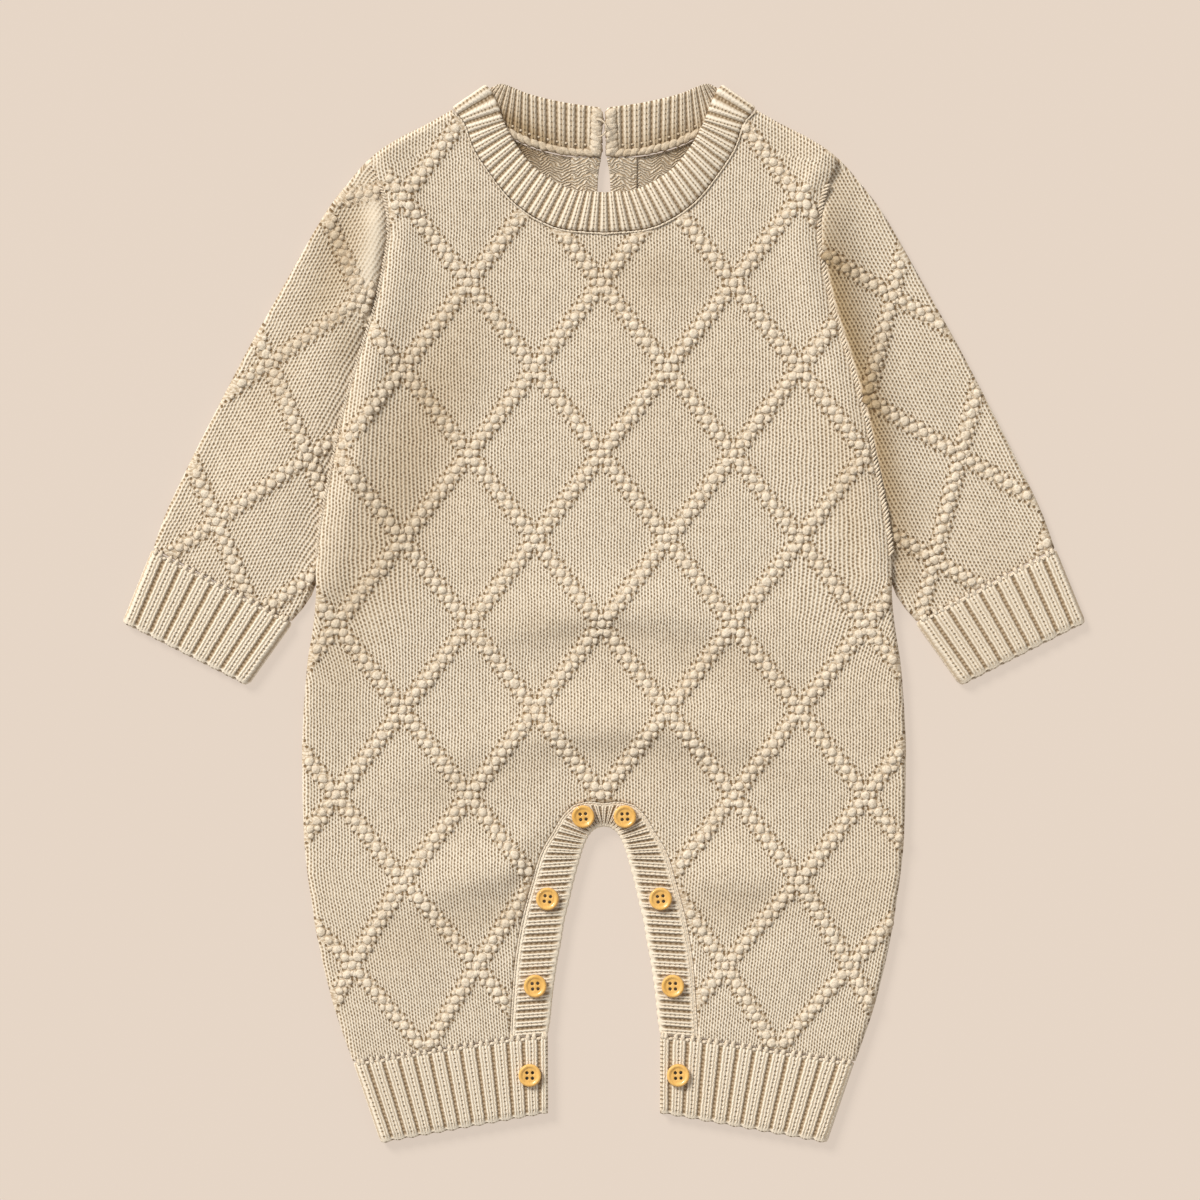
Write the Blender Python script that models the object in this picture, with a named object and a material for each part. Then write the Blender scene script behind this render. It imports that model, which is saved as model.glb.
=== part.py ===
"""Baby romper knitted in oat cotton, lying flat on its back, neck towards +Y.

Every piece is a wall of cloth: a flat cut in millimetres, laid where it lies by a function that gives the
middle of the wall and the way out of its outer face. Ribs and the diamond lattice stand proud of the outer
face, over a plain inside. The origin is at the middle of the romper's lower edge, on the floor.
"""

import math

import bmesh
import bpy
import numpy as np
from mathutils import Vector
from mathutils.geometry import delaunay_2d_cdt

MM = 0.001

# Walls, in millimetres
BODY_KNIT = 2.2
SLEEVE_KNIT = 1.8
CUFF_KNIT = 2.2
NECKBAND_KNIT = 3.0
FACING_KNIT = 1.0
SEAM_GAP = 0.3

# Heights of the middle of the front wall
FRONT_LEVEL = 5.3
OVER_SLEEVE = 1.35  # how much higher it lies where it covers the sleeve's seam
SLEEVE_REACH = 28.0  # how far in from the armhole that lift dies out
CROWN = 0.9
CROWN_REACH = 60.0
CROTCH_LEVEL = 4.5
FACING_LEVEL = 3.0

# Rolled edges: the last stretch of a panel turns down, or up, into its side seam
ROLL_WIDTH = 2.97
SIDE_ROLL = math.radians(85)
ARMHOLE_ROLL = math.radians(55)

# Diamond lattice of knitted bobbles
LATTICE_X = -1.5
LATTICE_Y = 36.5
HALF_DIAMOND = (33.0, 42.6)
BAND_FOOT = 5.0  # half width at the foot of the raised band
BAND_TOP = 3.0
BAND_HEIGHT = 0.9
LEG_TAPER = 0.0013  # the diamonds narrow by this share for each millimetre down the leg
LEG_TAPER_FROM = -130.0

# Ribs
RIB_HEIGHT = 0.9
NECK_RIB_HEIGHT = 0.7
NECK_RIB_PITCH = 5.2
CROTCH_RIB_HEIGHT = 0.8
CROTCH_RIBS = 48
SLEEVE_CUFF_RIBS = 9
LEG_CUFF_RIBS = 12
RIB_CREST = 0.52  # share of a rib's pitch that its flat crest takes
RIB_FOOT = 0.78

# Buttons
BUTTON_RADIUS = 5.65
BUTTON_THICK = 2.4
BUTTON_HOLE = 0.65
BUTTON_HOLE_APART = 2.6

# Curves of the right half, x and y. The left half is their mirror image.
NECK_SEAM = ((0, 189.3), (24.9, 192.3), (45.3, 204.8), (56.2, 218.0), (65.0, 231.5), (70.5, 245.5), (74.1, 249.2))
NECK_EDGE = ((0, 209.4), (16.0, 211.0), (32.0, 219.7), (40.7, 228.9), (46.5, 237.5), (50.5, 246.7), (55.1, 262.2))
BACK_NECK_SEAM = ((74.1, 249.2), (66.0, 247.0), (52.0, 240.0), (38.0, 233.0), (19.0, 228.0), (2.2, 227.0))
BACK_NECK_EDGE = ((55.1, 262.2), (52.0, 263.6), (47.0, 262.6), (38.0, 259.0), (19.0, 254.5), (1.2, 252.0))
SHOULDER = ((76.0, 250.8), (88.0, 244.0), (104.0, 236.0), (114.8, 230.2))
ARMHOLE = (
    (114.8, 230.2), (110.8, 219.0), (108.3, 209.0), (107.0, 190.0), (109.5, 172.0), (114.0, 152.0),
    (121.0, 130.0), (127.0, 110.0), (131.0, 95.0), (135.0, 75.0), (139.0, 55.0), (142.0, 38.0), (143.9, 20.0),
)
SIDE = (
    (143.9, 20.0), (143.7, 10.0), (145.0, -4.0), (148.0, -24.0), (149.8, -44.0), (150.8, -64.0), (150.8, -84.0),
    (150.3, -104.0), (149.0, -124.0), (146.3, -144.0), (143.0, -164.0), (138.5, -184.0), (132.8, -204.0),
    (125.5, -224.4),
)
HEM_SEAM = ((125.5, -224.4), (47.0, -212.4))
CROTCH_SEAM = ((47.0, -212.4), (45.8, -191.4), (44.3, -173.0), (41.2, -154.5), (36.1, -135.2), (31.0, -119.0),
               (24.9, -108.7), (16.7, -95.5))
CROTCH_TOP = ((16.7, -95.5), (0, -94.5))
ARCH = (
    (28.0, -210.9), (26.75, -204.0), (25.75, -194.0), (24.5, -184.0), (23.0, -174.0), (21.0, -164.0), (19.5, -154.0),
    (17.0, -144.0), (14.75, -134.0), (12.0, -124.0), (7.75, -114.0), (0, -107.0),
)
BACK_SLIT = ((0, 178.0), (1.6, 181.0), (2.6, 186.0), (3.2, 192.0), (3.6, 200.0), (3.6, 209.0), (2.6, 222.0), (1.6, 226.7))
SLEEVE_OUTER = (
    (112.5, 229.0), (117.0, 227.4), (121.0, 224.0), (127.7, 216.0), (135.0, 206.0), (147.5, 186.0), (158.7, 166.0),
    (175.7, 136.0), (191.5, 106.0), (206.7, 76.0), (220.6, 46.0), (225.5, 31.8),
)
SLEEVE_INNER = ((127.5, 94.0), (132.0, 74.0), (136.0, 54.0), (139.0, 37.0), (142.0, 20.0), (147.0, 6.5), (156.0, -4.5))
SLEEVE_UNDER_FRONT = 3.5  # how far the sleeve's seam lies inside the front's armhole edge
BACK_UNDERARM = ((141.5, 20.0), (143.2, 11.0), (144.1, 4.0))

# Cuffs: the corners of each, seam first
SLEEVE_CUFF = dict(inner=((156.0, -4.9), (178.5, -36.5)), outer=((225.7, 31.2), (240.5, -5.0)))
LEG_CUFF = dict(inner=((28.0, -211.3), (28.0, -250.0)), outer=((125.2, -224.8), (111.5, -265.0)))

# Soft ridges and troughs of the front wall: middle x and y, half length, half width, turn in degrees,
# how far the middle bows up out of a straight line, and height
FOLDS = (
    (12, 2, 85, 15, -4, 14, 1.2),
    (8, -54, 90, 15, 0, 18, 1.3),
    (-64, -136, 34, 13, 10, 0, 1.2),
    (62, -134, 34, 13, -6, 0, 1.0),
    (-80, 78, 75, 24, 106, 0, -0.9),
)

# Buttons down the crotch opening: x and y of the right-hand four
BUTTONS = ((10.4, -102.0), (28.2, -143.0), (34.3, -186.5), (37.0, -231.0))

OAT = (0.66, 0.56, 0.42)
OAT_INSIDE = (0.58, 0.48, 0.35)
BUTTON_WOOD = (0.72, 0.42, 0.10)


# Curves and areas of the flat cuts


def smooth(points, step):
    """Points about every step along one smooth curve through the given rows. The first two columns are x and y."""
    rows = np.array(points, float)
    chords = np.hypot(*np.diff(rows[:, :2], axis=0).T)
    knots = np.concatenate([[0.0], np.cumsum(chords)])
    slopes = np.gradient(rows, knots, axis=0)
    at = np.linspace(0, knots[-1], max(2, round(knots[-1] / step) + 1))
    row = np.clip(np.searchsorted(knots, at, side="right") - 1, 0, len(knots) - 2)
    span = (knots[row + 1] - knots[row])[:, None]
    f = (at - knots[row])[:, None] / span
    start = rows[row] * (1 + 2 * f) * (1 - f) ** 2 + slopes[row] * span * f * (1 - f) ** 2
    end = rows[row + 1] * f**2 * (3 - 2 * f) + slopes[row + 1] * span * f**2 * (f - 1)
    return start + end


def joined(*curves):
    """Curves end to end as one, with each shared end kept once."""
    rows = np.concatenate(curves)
    apart = np.linalg.norm(np.diff(rows, axis=0), axis=1) > 0.05
    return rows[np.concatenate([[True], apart])]


def mirrored(half):
    """The whole loop, anticlockwise, of a right half that runs clockwise from the middle back to the middle."""
    left = half[::-1] * (-1, 1)
    both = joined(half, left)
    if np.linalg.norm(both[0] - both[-1]) < 0.05:
        both = both[:-1]
    return both[::-1]


def sideways(line):
    """The unit vectors to the left of a line's run, at its points."""
    run = np.gradient(line, axis=0)
    run /= np.linalg.norm(run, axis=1)[:, None]
    return np.stack([-run[:, 1], run[:, 0]], axis=1)


def shifted(line, amount):
    """The line moved to its left."""
    return line + sideways(line) * amount


def nearest(points, line):
    """For each point, its distance from a line, and where along it the foot is: a row number and a share."""
    start = line[:-1]
    run = line[1:] - start
    share = ((points[:, None] - start) * run).sum(2) / (run * run).sum(1)
    share = np.clip(share, 0, 1)
    away = points[:, None] - (start + share[..., None] * run)
    distance = np.linalg.norm(away, axis=2)
    row = distance.argmin(1)
    each = np.arange(len(points))
    return distance[each, row], row, share[each, row]


def between(values, row, share):
    """The values of a line's rows, read between them."""
    share = share.reshape(-1, *[1] * (values.ndim - 1))
    return values[row] * (1 - share) + values[row + 1] * share


def fade(distance, reach):
    """1 at no distance, falling smoothly to 0 at the reach."""
    f = np.clip(1 - distance / reach, 0, 1)
    return f * f * (3 - 2 * f)


# Walls


def triangles_in(loop, lines=(), dots=(), holes=()):
    """The points and triangles that fill a loop, with an edge along every line and none inside a hole."""
    points = [*loop]
    edges = []
    for line in lines:
        edges += [(len(points) + i, len(points) + i + 1) for i in range(len(line) - 1)]
        points += [*line]
    areas = [list(range(len(loop)))]
    for hole in holes:
        areas.append(list(range(len(points), len(points) + len(hole))))
        points += [*hole]
    points += [*dots]
    found, _, faces, _, _, inside = delaunay_2d_cdt([Vector(p) for p in points], edges, areas, 0, 0.02, True)
    kept = np.array([face for face, areas in zip(faces, inside) if areas == [0]])
    used, kept = np.unique(kept, return_inverse=True)
    return np.array([tuple(p) for p in found])[used], kept.reshape(-1, 3)


def rim_of(triangles):
    """The rim's edges as point numbers, in the triangles' own direction."""
    edges = np.concatenate([triangles[:, [0, 1]], triangles[:, [1, 2]], triangles[:, [2, 0]]])
    known = {tuple(edge) for edge in edges}
    return [(a, b) for a, b in known if (b, a) not in known]


def chained(rim):
    """A rim of one loop as its point numbers, in order."""
    after = dict(rim)
    loop = [rim[0][0]]
    while after[loop[-1]] != loop[0]:
        loop.append(after[loop[-1]])
    return loop


def add_object(name, points, faces, colour, roughness=0.9):
    """One closed mesh as an object, its faces turned out, with its own material. Points are in millimetres."""
    mesh = bpy.data.meshes.new(name)
    mesh.from_pydata((np.asarray(points) * MM).tolist(), [], [tuple(map(int, face)) for face in faces])
    shell = bmesh.new()
    shell.from_mesh(mesh)
    bmesh.ops.recalc_face_normals(shell, faces=shell.faces)
    shell.to_mesh(mesh)
    shell.free()
    mesh.shade_smooth()
    mesh.set_sharp_from_angle(angle=math.radians(40))
    material = bpy.data.materials.new(name)
    material.use_nodes = True
    shader = material.node_tree.nodes["Principled BSDF"]
    shader.inputs["Base Color"].default_value = (*colour, 1)
    shader.inputs["Roughness"].default_value = roughness
    shader.inputs["Metallic"].default_value = 0
    mesh.materials.append(material)
    made = bpy.data.objects.new(name, mesh)
    bpy.context.scene.collection.objects.link(made)
    return made


def cloth(name, loop, place, thick, folds=(), raised=(), dots=(), relief=None, inner_relief=None, side=1, colour=OAT):
    """A wall of cloth over the cut inside a loop. Both faces have edges along the folds, and the outer one
    along the raised lines too. relief gives how far a face stands proud of the plain wall."""
    outer_cut, outer = triangles_in(loop, [*folds, *raised], dots)
    rim = chained(rim_of(outer))
    inner_lines = [*folds, *raised] if inner_relief else folds
    inner_cut, inner = triangles_in(outer_cut[rim], inner_lines, dots)
    middle, out = place(outer_cut)
    proud = relief(outer_cut) if relief else 0.0
    outer_points = middle + out * np.reshape(thick / 2 + proud, (-1, 1))
    middle, out = place(inner_cut)
    proud = inner_relief(inner_cut) if inner_relief else 0.0
    inner_points = middle - out * np.reshape(thick / 2 + proud, (-1, 1))
    match = nearest_point(outer_cut[rim], inner_cut)
    count = len(outer_points)
    walls = []
    for i, a in enumerate(rim):
        j = (i + 1) % len(rim)
        b = rim[j]
        walls += [(b, a, count + match[i]), (b, count + match[i], count + match[j])]
    faces = [*outer, *(inner[:, ::-1] + count), *walls]
    points = np.concatenate([outer_points, inner_points]) * (side, 1, 1)
    return add_object(name, points, faces, colour)


def nearest_point(points, others):
    """For each point, the number of the one in others at the same place."""
    return [int(np.hypot(*(others - point).T).argmin()) for point in points]


def rolled(points, edge, rolls, down):
    """Turns the last stretch inside a rolled edge: how far each point moves in plan, how far it drops, and the
    outer face's way out. down is 1 where the edge turns down and -1 where it turns up."""
    distance, row, share = nearest(points, edge)
    away = between(sideways(edge), row, share)
    away /= np.linalg.norm(away, axis=1)[:, None]
    run = np.clip(ROLL_WIDTH - distance, 0, None)
    turn = between(rolls, row, share) * run / ROLL_WIDTH
    safe = np.maximum(turn, 1e-6)
    radius = run / safe
    plan = away * (radius * np.sin(safe) - run)[:, None]
    drop = radius * (1 - np.cos(safe)) * down
    out = np.stack([away[:, 0] * np.sin(turn), away[:, 1] * np.sin(turn), np.cos(turn) * down], axis=1)
    return plan, drop, out


# Diamond lattice


def lattice_place(points):
    """Where plan points lie in the body's lattice: bands run where the sum or the difference is odd."""
    narrow = 1 - LEG_TAPER * np.clip(LEG_TAPER_FROM - points[:, 1], 0, None)
    across = (points[:, 0] - LATTICE_X) / narrow / HALF_DIAMOND[0]
    return across, (points[:, 1] - LATTICE_Y) / HALF_DIAMOND[1]


def band_height(across, along):
    """Height of the raised bands at lattice coordinates."""
    pitch = 1 / math.hypot(1 / HALF_DIAMOND[0], 1 / HALF_DIAMOND[1])
    height = 0.0
    for turn in (across + along, across - along):
        off = np.abs((turn % 2) - 1) * pitch
        height = np.maximum(height, np.clip((BAND_FOOT - off) / (BAND_FOOT - BAND_TOP), 0, 1))
    return height * BAND_HEIGHT


def band_lines(to_plan, lows, highs):
    """The feet and tops of every band between two corners in lattice coordinates."""
    pitch = 1 / math.hypot(1 / HALF_DIAMOND[0], 1 / HALF_DIAMOND[1])
    lines = []
    for lean in (1, -1):
        ends = sorted(x + lean * y for x in (lows[0], highs[0]) for y in (lows[1], highs[1]))
        for turn in range(math.floor(ends[0]), math.ceil(ends[-1]) + 1):
            if turn % 2 == 0:
                continue
            for off in (-BAND_FOOT, -BAND_TOP, BAND_TOP, BAND_FOOT):
                along = np.arange(lows[1], highs[1] + 0.01, 0.5)
                across = turn + off / pitch - lean * along
                inside = (across > lows[0] - 0.6) & (across < highs[0] + 0.6)
                if inside.sum() > 1:
                    lines.append(to_plan(np.stack([across[inside], along[inside]], axis=1)))
    return lines


def diamond_dots(to_plan, lows, highs):
    """Five points in the middle of every diamond."""
    dots = []
    for i in range(2 * math.floor(lows[0]), 2 * math.ceil(highs[0]) + 1):
        for j in range(2 * math.floor(lows[1]), 2 * math.ceil(highs[1]) + 1):
            if i % 2 == 0 and j % 2 == 0 and (i + j) % 4 == 0:
                for dx, dy in ((0, 0), (0.4, 0), (-0.4, 0), (0, 0.4), (0, -0.4)):
                    dots.append((i / 2 + dx, j / 2 + dy))
    return to_plan(np.array(dots))


def body_plan(lattice):
    """Plan points of the body's lattice coordinates."""
    y = LATTICE_Y + lattice[:, 1] * HALF_DIAMOND[1]
    narrow = 1 - LEG_TAPER * np.clip(LEG_TAPER_FROM - y, 0, None)
    return np.stack([LATTICE_X + lattice[:, 0] * HALF_DIAMOND[0] * narrow, y], axis=1)


# Front and back panels


def side_edge():
    """Shoulder, armhole and side of the front as one line, and how far each point's edge rolls."""
    shoulder = smooth(SHOULDER, 10)
    armhole = smooth(ARMHOLE, 10)
    side = smooth(SIDE, 11)
    line = joined(shoulder, armhole, side)
    rolls = np.full(len(line), SIDE_ROLL)
    covers = nearest(line, armhole)[0] < 0.01
    rolls[covers] = ARMHOLE_ROLL
    return line, rolls


def fold_height(points):
    """Height of the soft folds."""
    height = np.zeros(len(points))
    for x, y, length, width, turn, bow, rise in FOLDS:
        turn = math.radians(turn)
        off = points - (x, y)
        along = off[:, 0] * math.cos(turn) + off[:, 1] * math.sin(turn)
        across = off[:, 1] * math.cos(turn) - off[:, 0] * math.sin(turn) + bow * (along / length) ** 2
        height += rise * np.exp(-((along / length) ** 2) - (across / width) ** 2)
    return height


def front_half():
    """The front's outline, clockwise from the middle of the neck to the middle of the crotch."""
    neck = shifted(smooth(NECK_SEAM, 5), -SEAM_GAP)
    neck[0, 0] = 0
    return joined(
        neck, smooth(SHOULDER, 10), smooth(ARMHOLE, 10), smooth(SIDE, 11), smooth(HEM_SEAM, 20),
        smooth(CROTCH_SEAM, 14), smooth(CROTCH_TOP, 20),
    )


def front_panel():
    """The front of the body and of both legs, crowned over the back, with its lattice."""
    half = front_half()
    loop = mirrored(half)
    edge, rolls = side_edge()
    armhole = smooth(ARMHOLE, 10)
    outline = np.concatenate([loop, loop[:1]])

    def place(points):
        right = np.abs(points[:, :1]) * (1, 0) + points[:, 1:] * (0, 1)
        sign = np.where(points[:, 0] < 0, -1.0, 1.0)
        plan, drop, out = rolled(right, edge, rolls, 1)
        inland = 1 - fade(nearest(points, outline)[0], CROWN_REACH)
        level = FRONT_LEVEL + OVER_SLEEVE * fade(nearest(right, armhole)[0], SLEEVE_REACH)
        level += inland * (CROWN + fold_height(points)) - drop
        flat = right + plan
        middle = np.stack([flat[:, 0] * sign, flat[:, 1], level], axis=1)
        out[:, 0] *= sign
        return middle, out

    def relief(points):
        right = np.abs(points[:, :1]) * (1, 0) + points[:, 1:] * (0, 1)
        inside = np.clip(nearest(right, edge)[0] / ROLL_WIDTH, 0, 1)
        return band_height(*lattice_place(points)) * inside

    folds = []
    for share in (1.0, 0.5):
        line = shifted(edge, -ROLL_WIDTH * share)
        folds += [line, line * (-1, 1)]
    lows, highs = (-4.6, -6.4), (4.8, 5.2)
    cloth(
        "front", loop, place, BODY_KNIT, folds, band_lines(body_plan, lows, highs),
        diamond_dots(body_plan, lows, highs), relief,
    )


def back_half(sleeve_seam):
    """The back's outline, clockwise from the foot of the neck slit to the middle of the crotch."""
    slit = smooth(BACK_SLIT, 8)
    neck = shifted(smooth(BACK_NECK_SEAM[::-1], 5), -SEAM_GAP)
    shoulder = smooth(SHOULDER, 10)
    shoulder = shoulder[shoulder[:, 0] < sleeve_seam[0, 0] - 1]
    underarm = smooth(BACK_UNDERARM, 8)
    side = smooth(SIDE, 11)
    side = side[side[:, 1] < underarm[-1, 1] - 4]
    seam = shifted(sleeve_seam, -SEAM_GAP)
    return joined(
        slit, neck, shoulder, seam, underarm, side, smooth(HEM_SEAM, 20), smooth(CROTCH_SEAM, 14),
        smooth(CROTCH_TOP, 20),
    )


def back_panel():
    """The back of the body and of both legs, flat on the floor, its shoulders and sides turned up."""
    half = back_half(sleeve_seam_line())
    loop = mirrored(half)
    shoulder = smooth(SHOULDER, 10)
    side = smooth(SIDE, 11)
    side = side[side[:, 1] < 12]
    edges = []
    for line in (shoulder, side):
        rolls = np.full(len(line), SIDE_ROLL)
        rolls[:2 if line is side else 0] = 0.0
        edges.append((line, rolls))

    def place(points):
        right = np.abs(points[:, :1]) * (1, 0) + points[:, 1:] * (0, 1)
        sign = np.where(points[:, 0] < 0, -1.0, 1.0)
        closer = nearest(right, side)[0] < nearest(right, shoulder)[0]
        parts = [rolled(right, line, rolls, -1) for line, rolls in edges]
        plan, drop, out = [np.where(closer.reshape(-1, *[1] * (b.ndim - 1)), b, a) for a, b in zip(*parts)]
        flat = right + plan
        middle = np.stack([flat[:, 0] * sign, flat[:, 1], BODY_KNIT / 2 - drop], axis=1)
        out[:, 0] *= sign
        return middle, out

    folds = []
    for line, _ in edges:
        for share in (1.0, 0.5):
            inside = shifted(line, -ROLL_WIDTH * share)
            folds += [inside, inside * (-1, 1)]
    cloth("back", loop, place, BODY_KNIT, folds)


# Tubes laid flat: sleeves and cuffs


def along(line, share):
    """The place at each share of a line's length, carried straight on past its ends."""
    steps = np.linalg.norm(np.diff(line, axis=0), axis=1)
    reach = np.concatenate([[0.0], np.cumsum(steps)])
    held = np.clip(share, 0, 1)
    at = held * reach[-1]
    place = np.stack([np.interp(at, reach, line[:, 0]), np.interp(at, reach, line[:, 1])], axis=1)
    first = (line[1] - line[0]) / steps[0]
    last = (line[-1] - line[-2]) / steps[-1]
    past = ((share - held) * reach[-1])[:, None]
    return place + past * np.where(share[:, None] > 0.5, last, first)


def patch(seam, hem, inner, outer):
    """A flat area between four lines, as a function of a share across, from inner to outer, and one along, from
    seam to hem."""
    corners = seam[0], seam[-1], hem[0], hem[-1]

    def place(across, down):
        s, v = across[:, None], down[:, None]
        rails = (1 - v) * along(seam, across) + v * along(hem, across)
        rails += (1 - s) * along(inner, down) + s * along(outer, down)
        bilinear = (1 - v) * ((1 - s) * corners[0] + s * corners[1]) + v * ((1 - s) * corners[2] + s * corners[3])
        return rails - bilinear

    return place


def shares_of(place, points):
    """The shares of a patch that lie at plan points, by Newton's method."""
    shares = np.full((len(points), 2), 0.5)
    small = 1e-4
    for _ in range(25):
        here = place(*shares.T)
        slope_s = (place(shares[:, 0] + small, shares[:, 1]) - here) / small
        slope_v = (place(shares[:, 0], shares[:, 1] + small) - here) / small
        off = points - here
        area = slope_s[:, 0] * slope_v[:, 1] - slope_s[:, 1] * slope_v[:, 0]
        step_s = (off[:, 0] * slope_v[:, 1] - off[:, 1] * slope_v[:, 0]) / area
        step_v = (slope_s[:, 0] * off[:, 1] - slope_s[:, 1] * off[:, 0]) / area
        shares += np.clip(np.stack([step_s, step_v], axis=1), -0.2, 0.2)
    return shares


class FlatTube:
    """A tube pressed flat: its cut runs across the top wall, round the outer fold and back under. A closed tube
    also turns up at its inner fold, to a seam half way up it."""

    def __init__(self, area, width, length, thick, radius, closed):
        self.area, self.width, self.length = area, width, length
        self.thick, self.radius = thick, radius
        self.quarter = math.pi / 2 * radius if closed else 0.0
        self.fold = math.pi * radius
        self.total = 2 * (self.quarter + width) + self.fold
        self.start = SEAM_GAP / 2 if closed else 0.0

    def insets(self, down):
        """The shares across that the inner and the outer fold take."""
        one = np.ones_like(down)
        span = np.linalg.norm(self.area(one, down) - self.area(0 * one, down), axis=1)
        outer = (self.radius + self.thick / 2) / span
        return outer * (self.quarter > 0), outer

    def place(self, points):
        u = points[:, 0] - self.quarter
        down = points[:, 1] / self.length
        inner, outer = self.insets(down)
        under = u - self.width - self.fold
        share = np.clip(np.where(under > 0, 1 - under / self.width, u / self.width), 0, 1)
        across = inner + share * (1 - inner - outer)
        plan = self.area(across, down)
        tiny = np.full_like(across, 1e-3)
        outward = self.area(across + tiny, down) - plan
        outward /= np.linalg.norm(outward, axis=1)[:, None]
        turn = np.clip((u - self.width) / self.radius, 0, math.pi)
        turn = np.where(u < 0, -u / self.radius, turn)
        past = (under - self.width) / self.radius
        turn = np.where(past > 0, math.pi - past, turn)
        outward = np.where(((u < 0) | (past > 0))[:, None], -outward, outward)
        sine, cosine = np.sin(turn), np.cos(turn)
        flat = plan + outward * (self.radius * sine)[:, None]
        level = self.radius + self.thick / 2 + self.radius * cosine
        return np.column_stack([flat, level]), np.column_stack([outward * sine[:, None], cosine])

    def cut_of(self, plan):
        """The cut's points on the top wall at plan points."""
        shares = shares_of(self.area, plan)
        inner, outer = self.insets(shares[:, 1])
        share = (shares[:, 0] - inner) / (1 - inner - outer)
        return np.stack([self.quarter + share * self.width, shares[:, 1] * self.length], axis=1)

    def top_share(self, points):
        return (points[:, 0] - self.quarter) / self.width

    def loop(self, step):
        ends = self.start, self.total - self.start
        turns = [t for t in self.turns() if ends[0] < t < ends[1]]
        across = np.array([ends[0], *turns, ends[1]])
        down = np.linspace(0, self.length, round(self.length / step) + 1)
        left = np.column_stack([np.full(len(down) - 2, ends[1]), down[1:-1]])
        right = np.column_stack([np.full(len(down) - 2, ends[0]), down[-2:0:-1]])
        near = np.column_stack([across, np.zeros_like(across)])
        far = np.column_stack([across[::-1], np.full_like(across, self.length)])
        return np.concatenate([near, left, far, right])

    def turns(self):
        """Where in the cut the folds begin, end and turn."""
        start, end = self.quarter + self.width, self.quarter + self.width + self.fold
        turns = [*np.linspace(start, end, 5)]
        if self.quarter:
            turns += [self.quarter / 2, self.quarter, self.total - self.quarter, self.total - self.quarter / 2]
        return turns

    def folds(self, step):
        down = np.linspace(0, self.length, round(self.length / step) + 1)
        return [np.column_stack([np.full_like(down, at), down]) for at in self.turns()]


def sleeve_seam_line():
    """Where the sleeve meets the body, from the shoulder to the underarm and down the sleeve's inner edge."""
    armhole = shifted(smooth(ARMHOLE, 10), -SLEEVE_UNDER_FRONT)
    seam = armhole[(armhole[:, 1] < 222) & (armhole[:, 1] > SLEEVE_INNER[0][1] + 4)]
    inner = smooth(SLEEVE_INNER, 10)
    inner = inner[inner[:, 1] > BACK_UNDERARM[0][1] + 4]
    return joined([SLEEVE_OUTER[0]], seam, inner)


def sleeve_area():
    line = sleeve_seam_line()
    seam = line[line[:, 1] >= SLEEVE_INNER[0][1] - 0.01][::-1]
    hem = np.array([SLEEVE_INNER[-1], SLEEVE_OUTER[-1]])
    return patch(seam, hem, smooth(SLEEVE_INNER, 8), smooth(SLEEVE_OUTER, 8))


SLEEVE_WIDTH = 80.0
SLEEVE_LENGTH = 190.0
SLEEVE_FOLD_RADIUS = 1.1
SLEEVE_CROWN = 0.9
SLEEVE_LEAN = math.radians(26.5)  # of the sleeve's run, out from straight down
SLEEVE_HALF_DIAMOND = (34.0, 44.5)
# Where one crossing of each sleeve's bands lies, across and along its run
SLEEVE_LATTICE = dict(left=(164.0, 0.0), right=(162.0, -36.0))


def sleeve(name, side, crossing):
    """A sleeve pressed flat, its crown highest in the middle, with the lattice on its upper wall."""
    tube = FlatTube(sleeve_area(), SLEEVE_WIDTH, SLEEVE_LENGTH, SLEEVE_KNIT, SLEEVE_FOLD_RADIUS, True)
    cos, sin = math.cos(SLEEVE_LEAN), math.sin(SLEEVE_LEAN)

    def lattice(plan):
        across = plan[:, 0] * cos + plan[:, 1] * sin - crossing[0]
        down = plan[:, 0] * sin - plan[:, 1] * cos - crossing[1]
        return across / SLEEVE_HALF_DIAMOND[0] + 1, down / SLEEVE_HALF_DIAMOND[1]

    def plan_of(lattice):
        across = (lattice[:, 0] - 1) * SLEEVE_HALF_DIAMOND[0] + crossing[0]
        down = lattice[:, 1] * SLEEVE_HALF_DIAMOND[1] + crossing[1]
        return tube.cut_of(np.stack([across * cos + down * sin, across * sin - down * cos], axis=1))

    def place(points):
        middle, out = tube.place(points)
        share = np.clip(tube.top_share(points), 0, 1)
        down = points[:, 1] / SLEEVE_LENGTH
        middle[:, 2] += SLEEVE_CROWN * np.sin(math.pi * share) ** 2 * np.sin(math.pi * down)
        return middle, out

    def relief(points):
        share = tube.top_share(points)
        edge = np.minimum(np.clip(share / 0.08, 0, 1), np.clip((1 - share) / 0.03, 0, 1))
        covered = np.clip((points[:, 1] / SLEEVE_LENGTH - 0.03) / 0.03, 0, 1)
        return band_height(*lattice(tube.place(points)[0][:, :2])) * edge * covered

    def on_top(line):
        share = tube.top_share(line)
        down = line[:, 1] / SLEEVE_LENGTH
        return (share > 0.02) & (share < 0.985) & (down > -0.1) & (down < 1.1)

    raised = []
    for line in band_lines(plan_of, (-3, -6), (4, 5)):
        inside = np.flatnonzero(on_top(line))
        if len(inside) > 1:
            raised.append(line[inside[0] : inside[-1] + 1])
    dots = diamond_dots(plan_of, (-3, -6), (4, 5))
    cloth(
        name, tube.loop(12), place, SLEEVE_KNIT, tube.folds(12), raised, dots[on_top(dots)], relief, side=side,
    )


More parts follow.
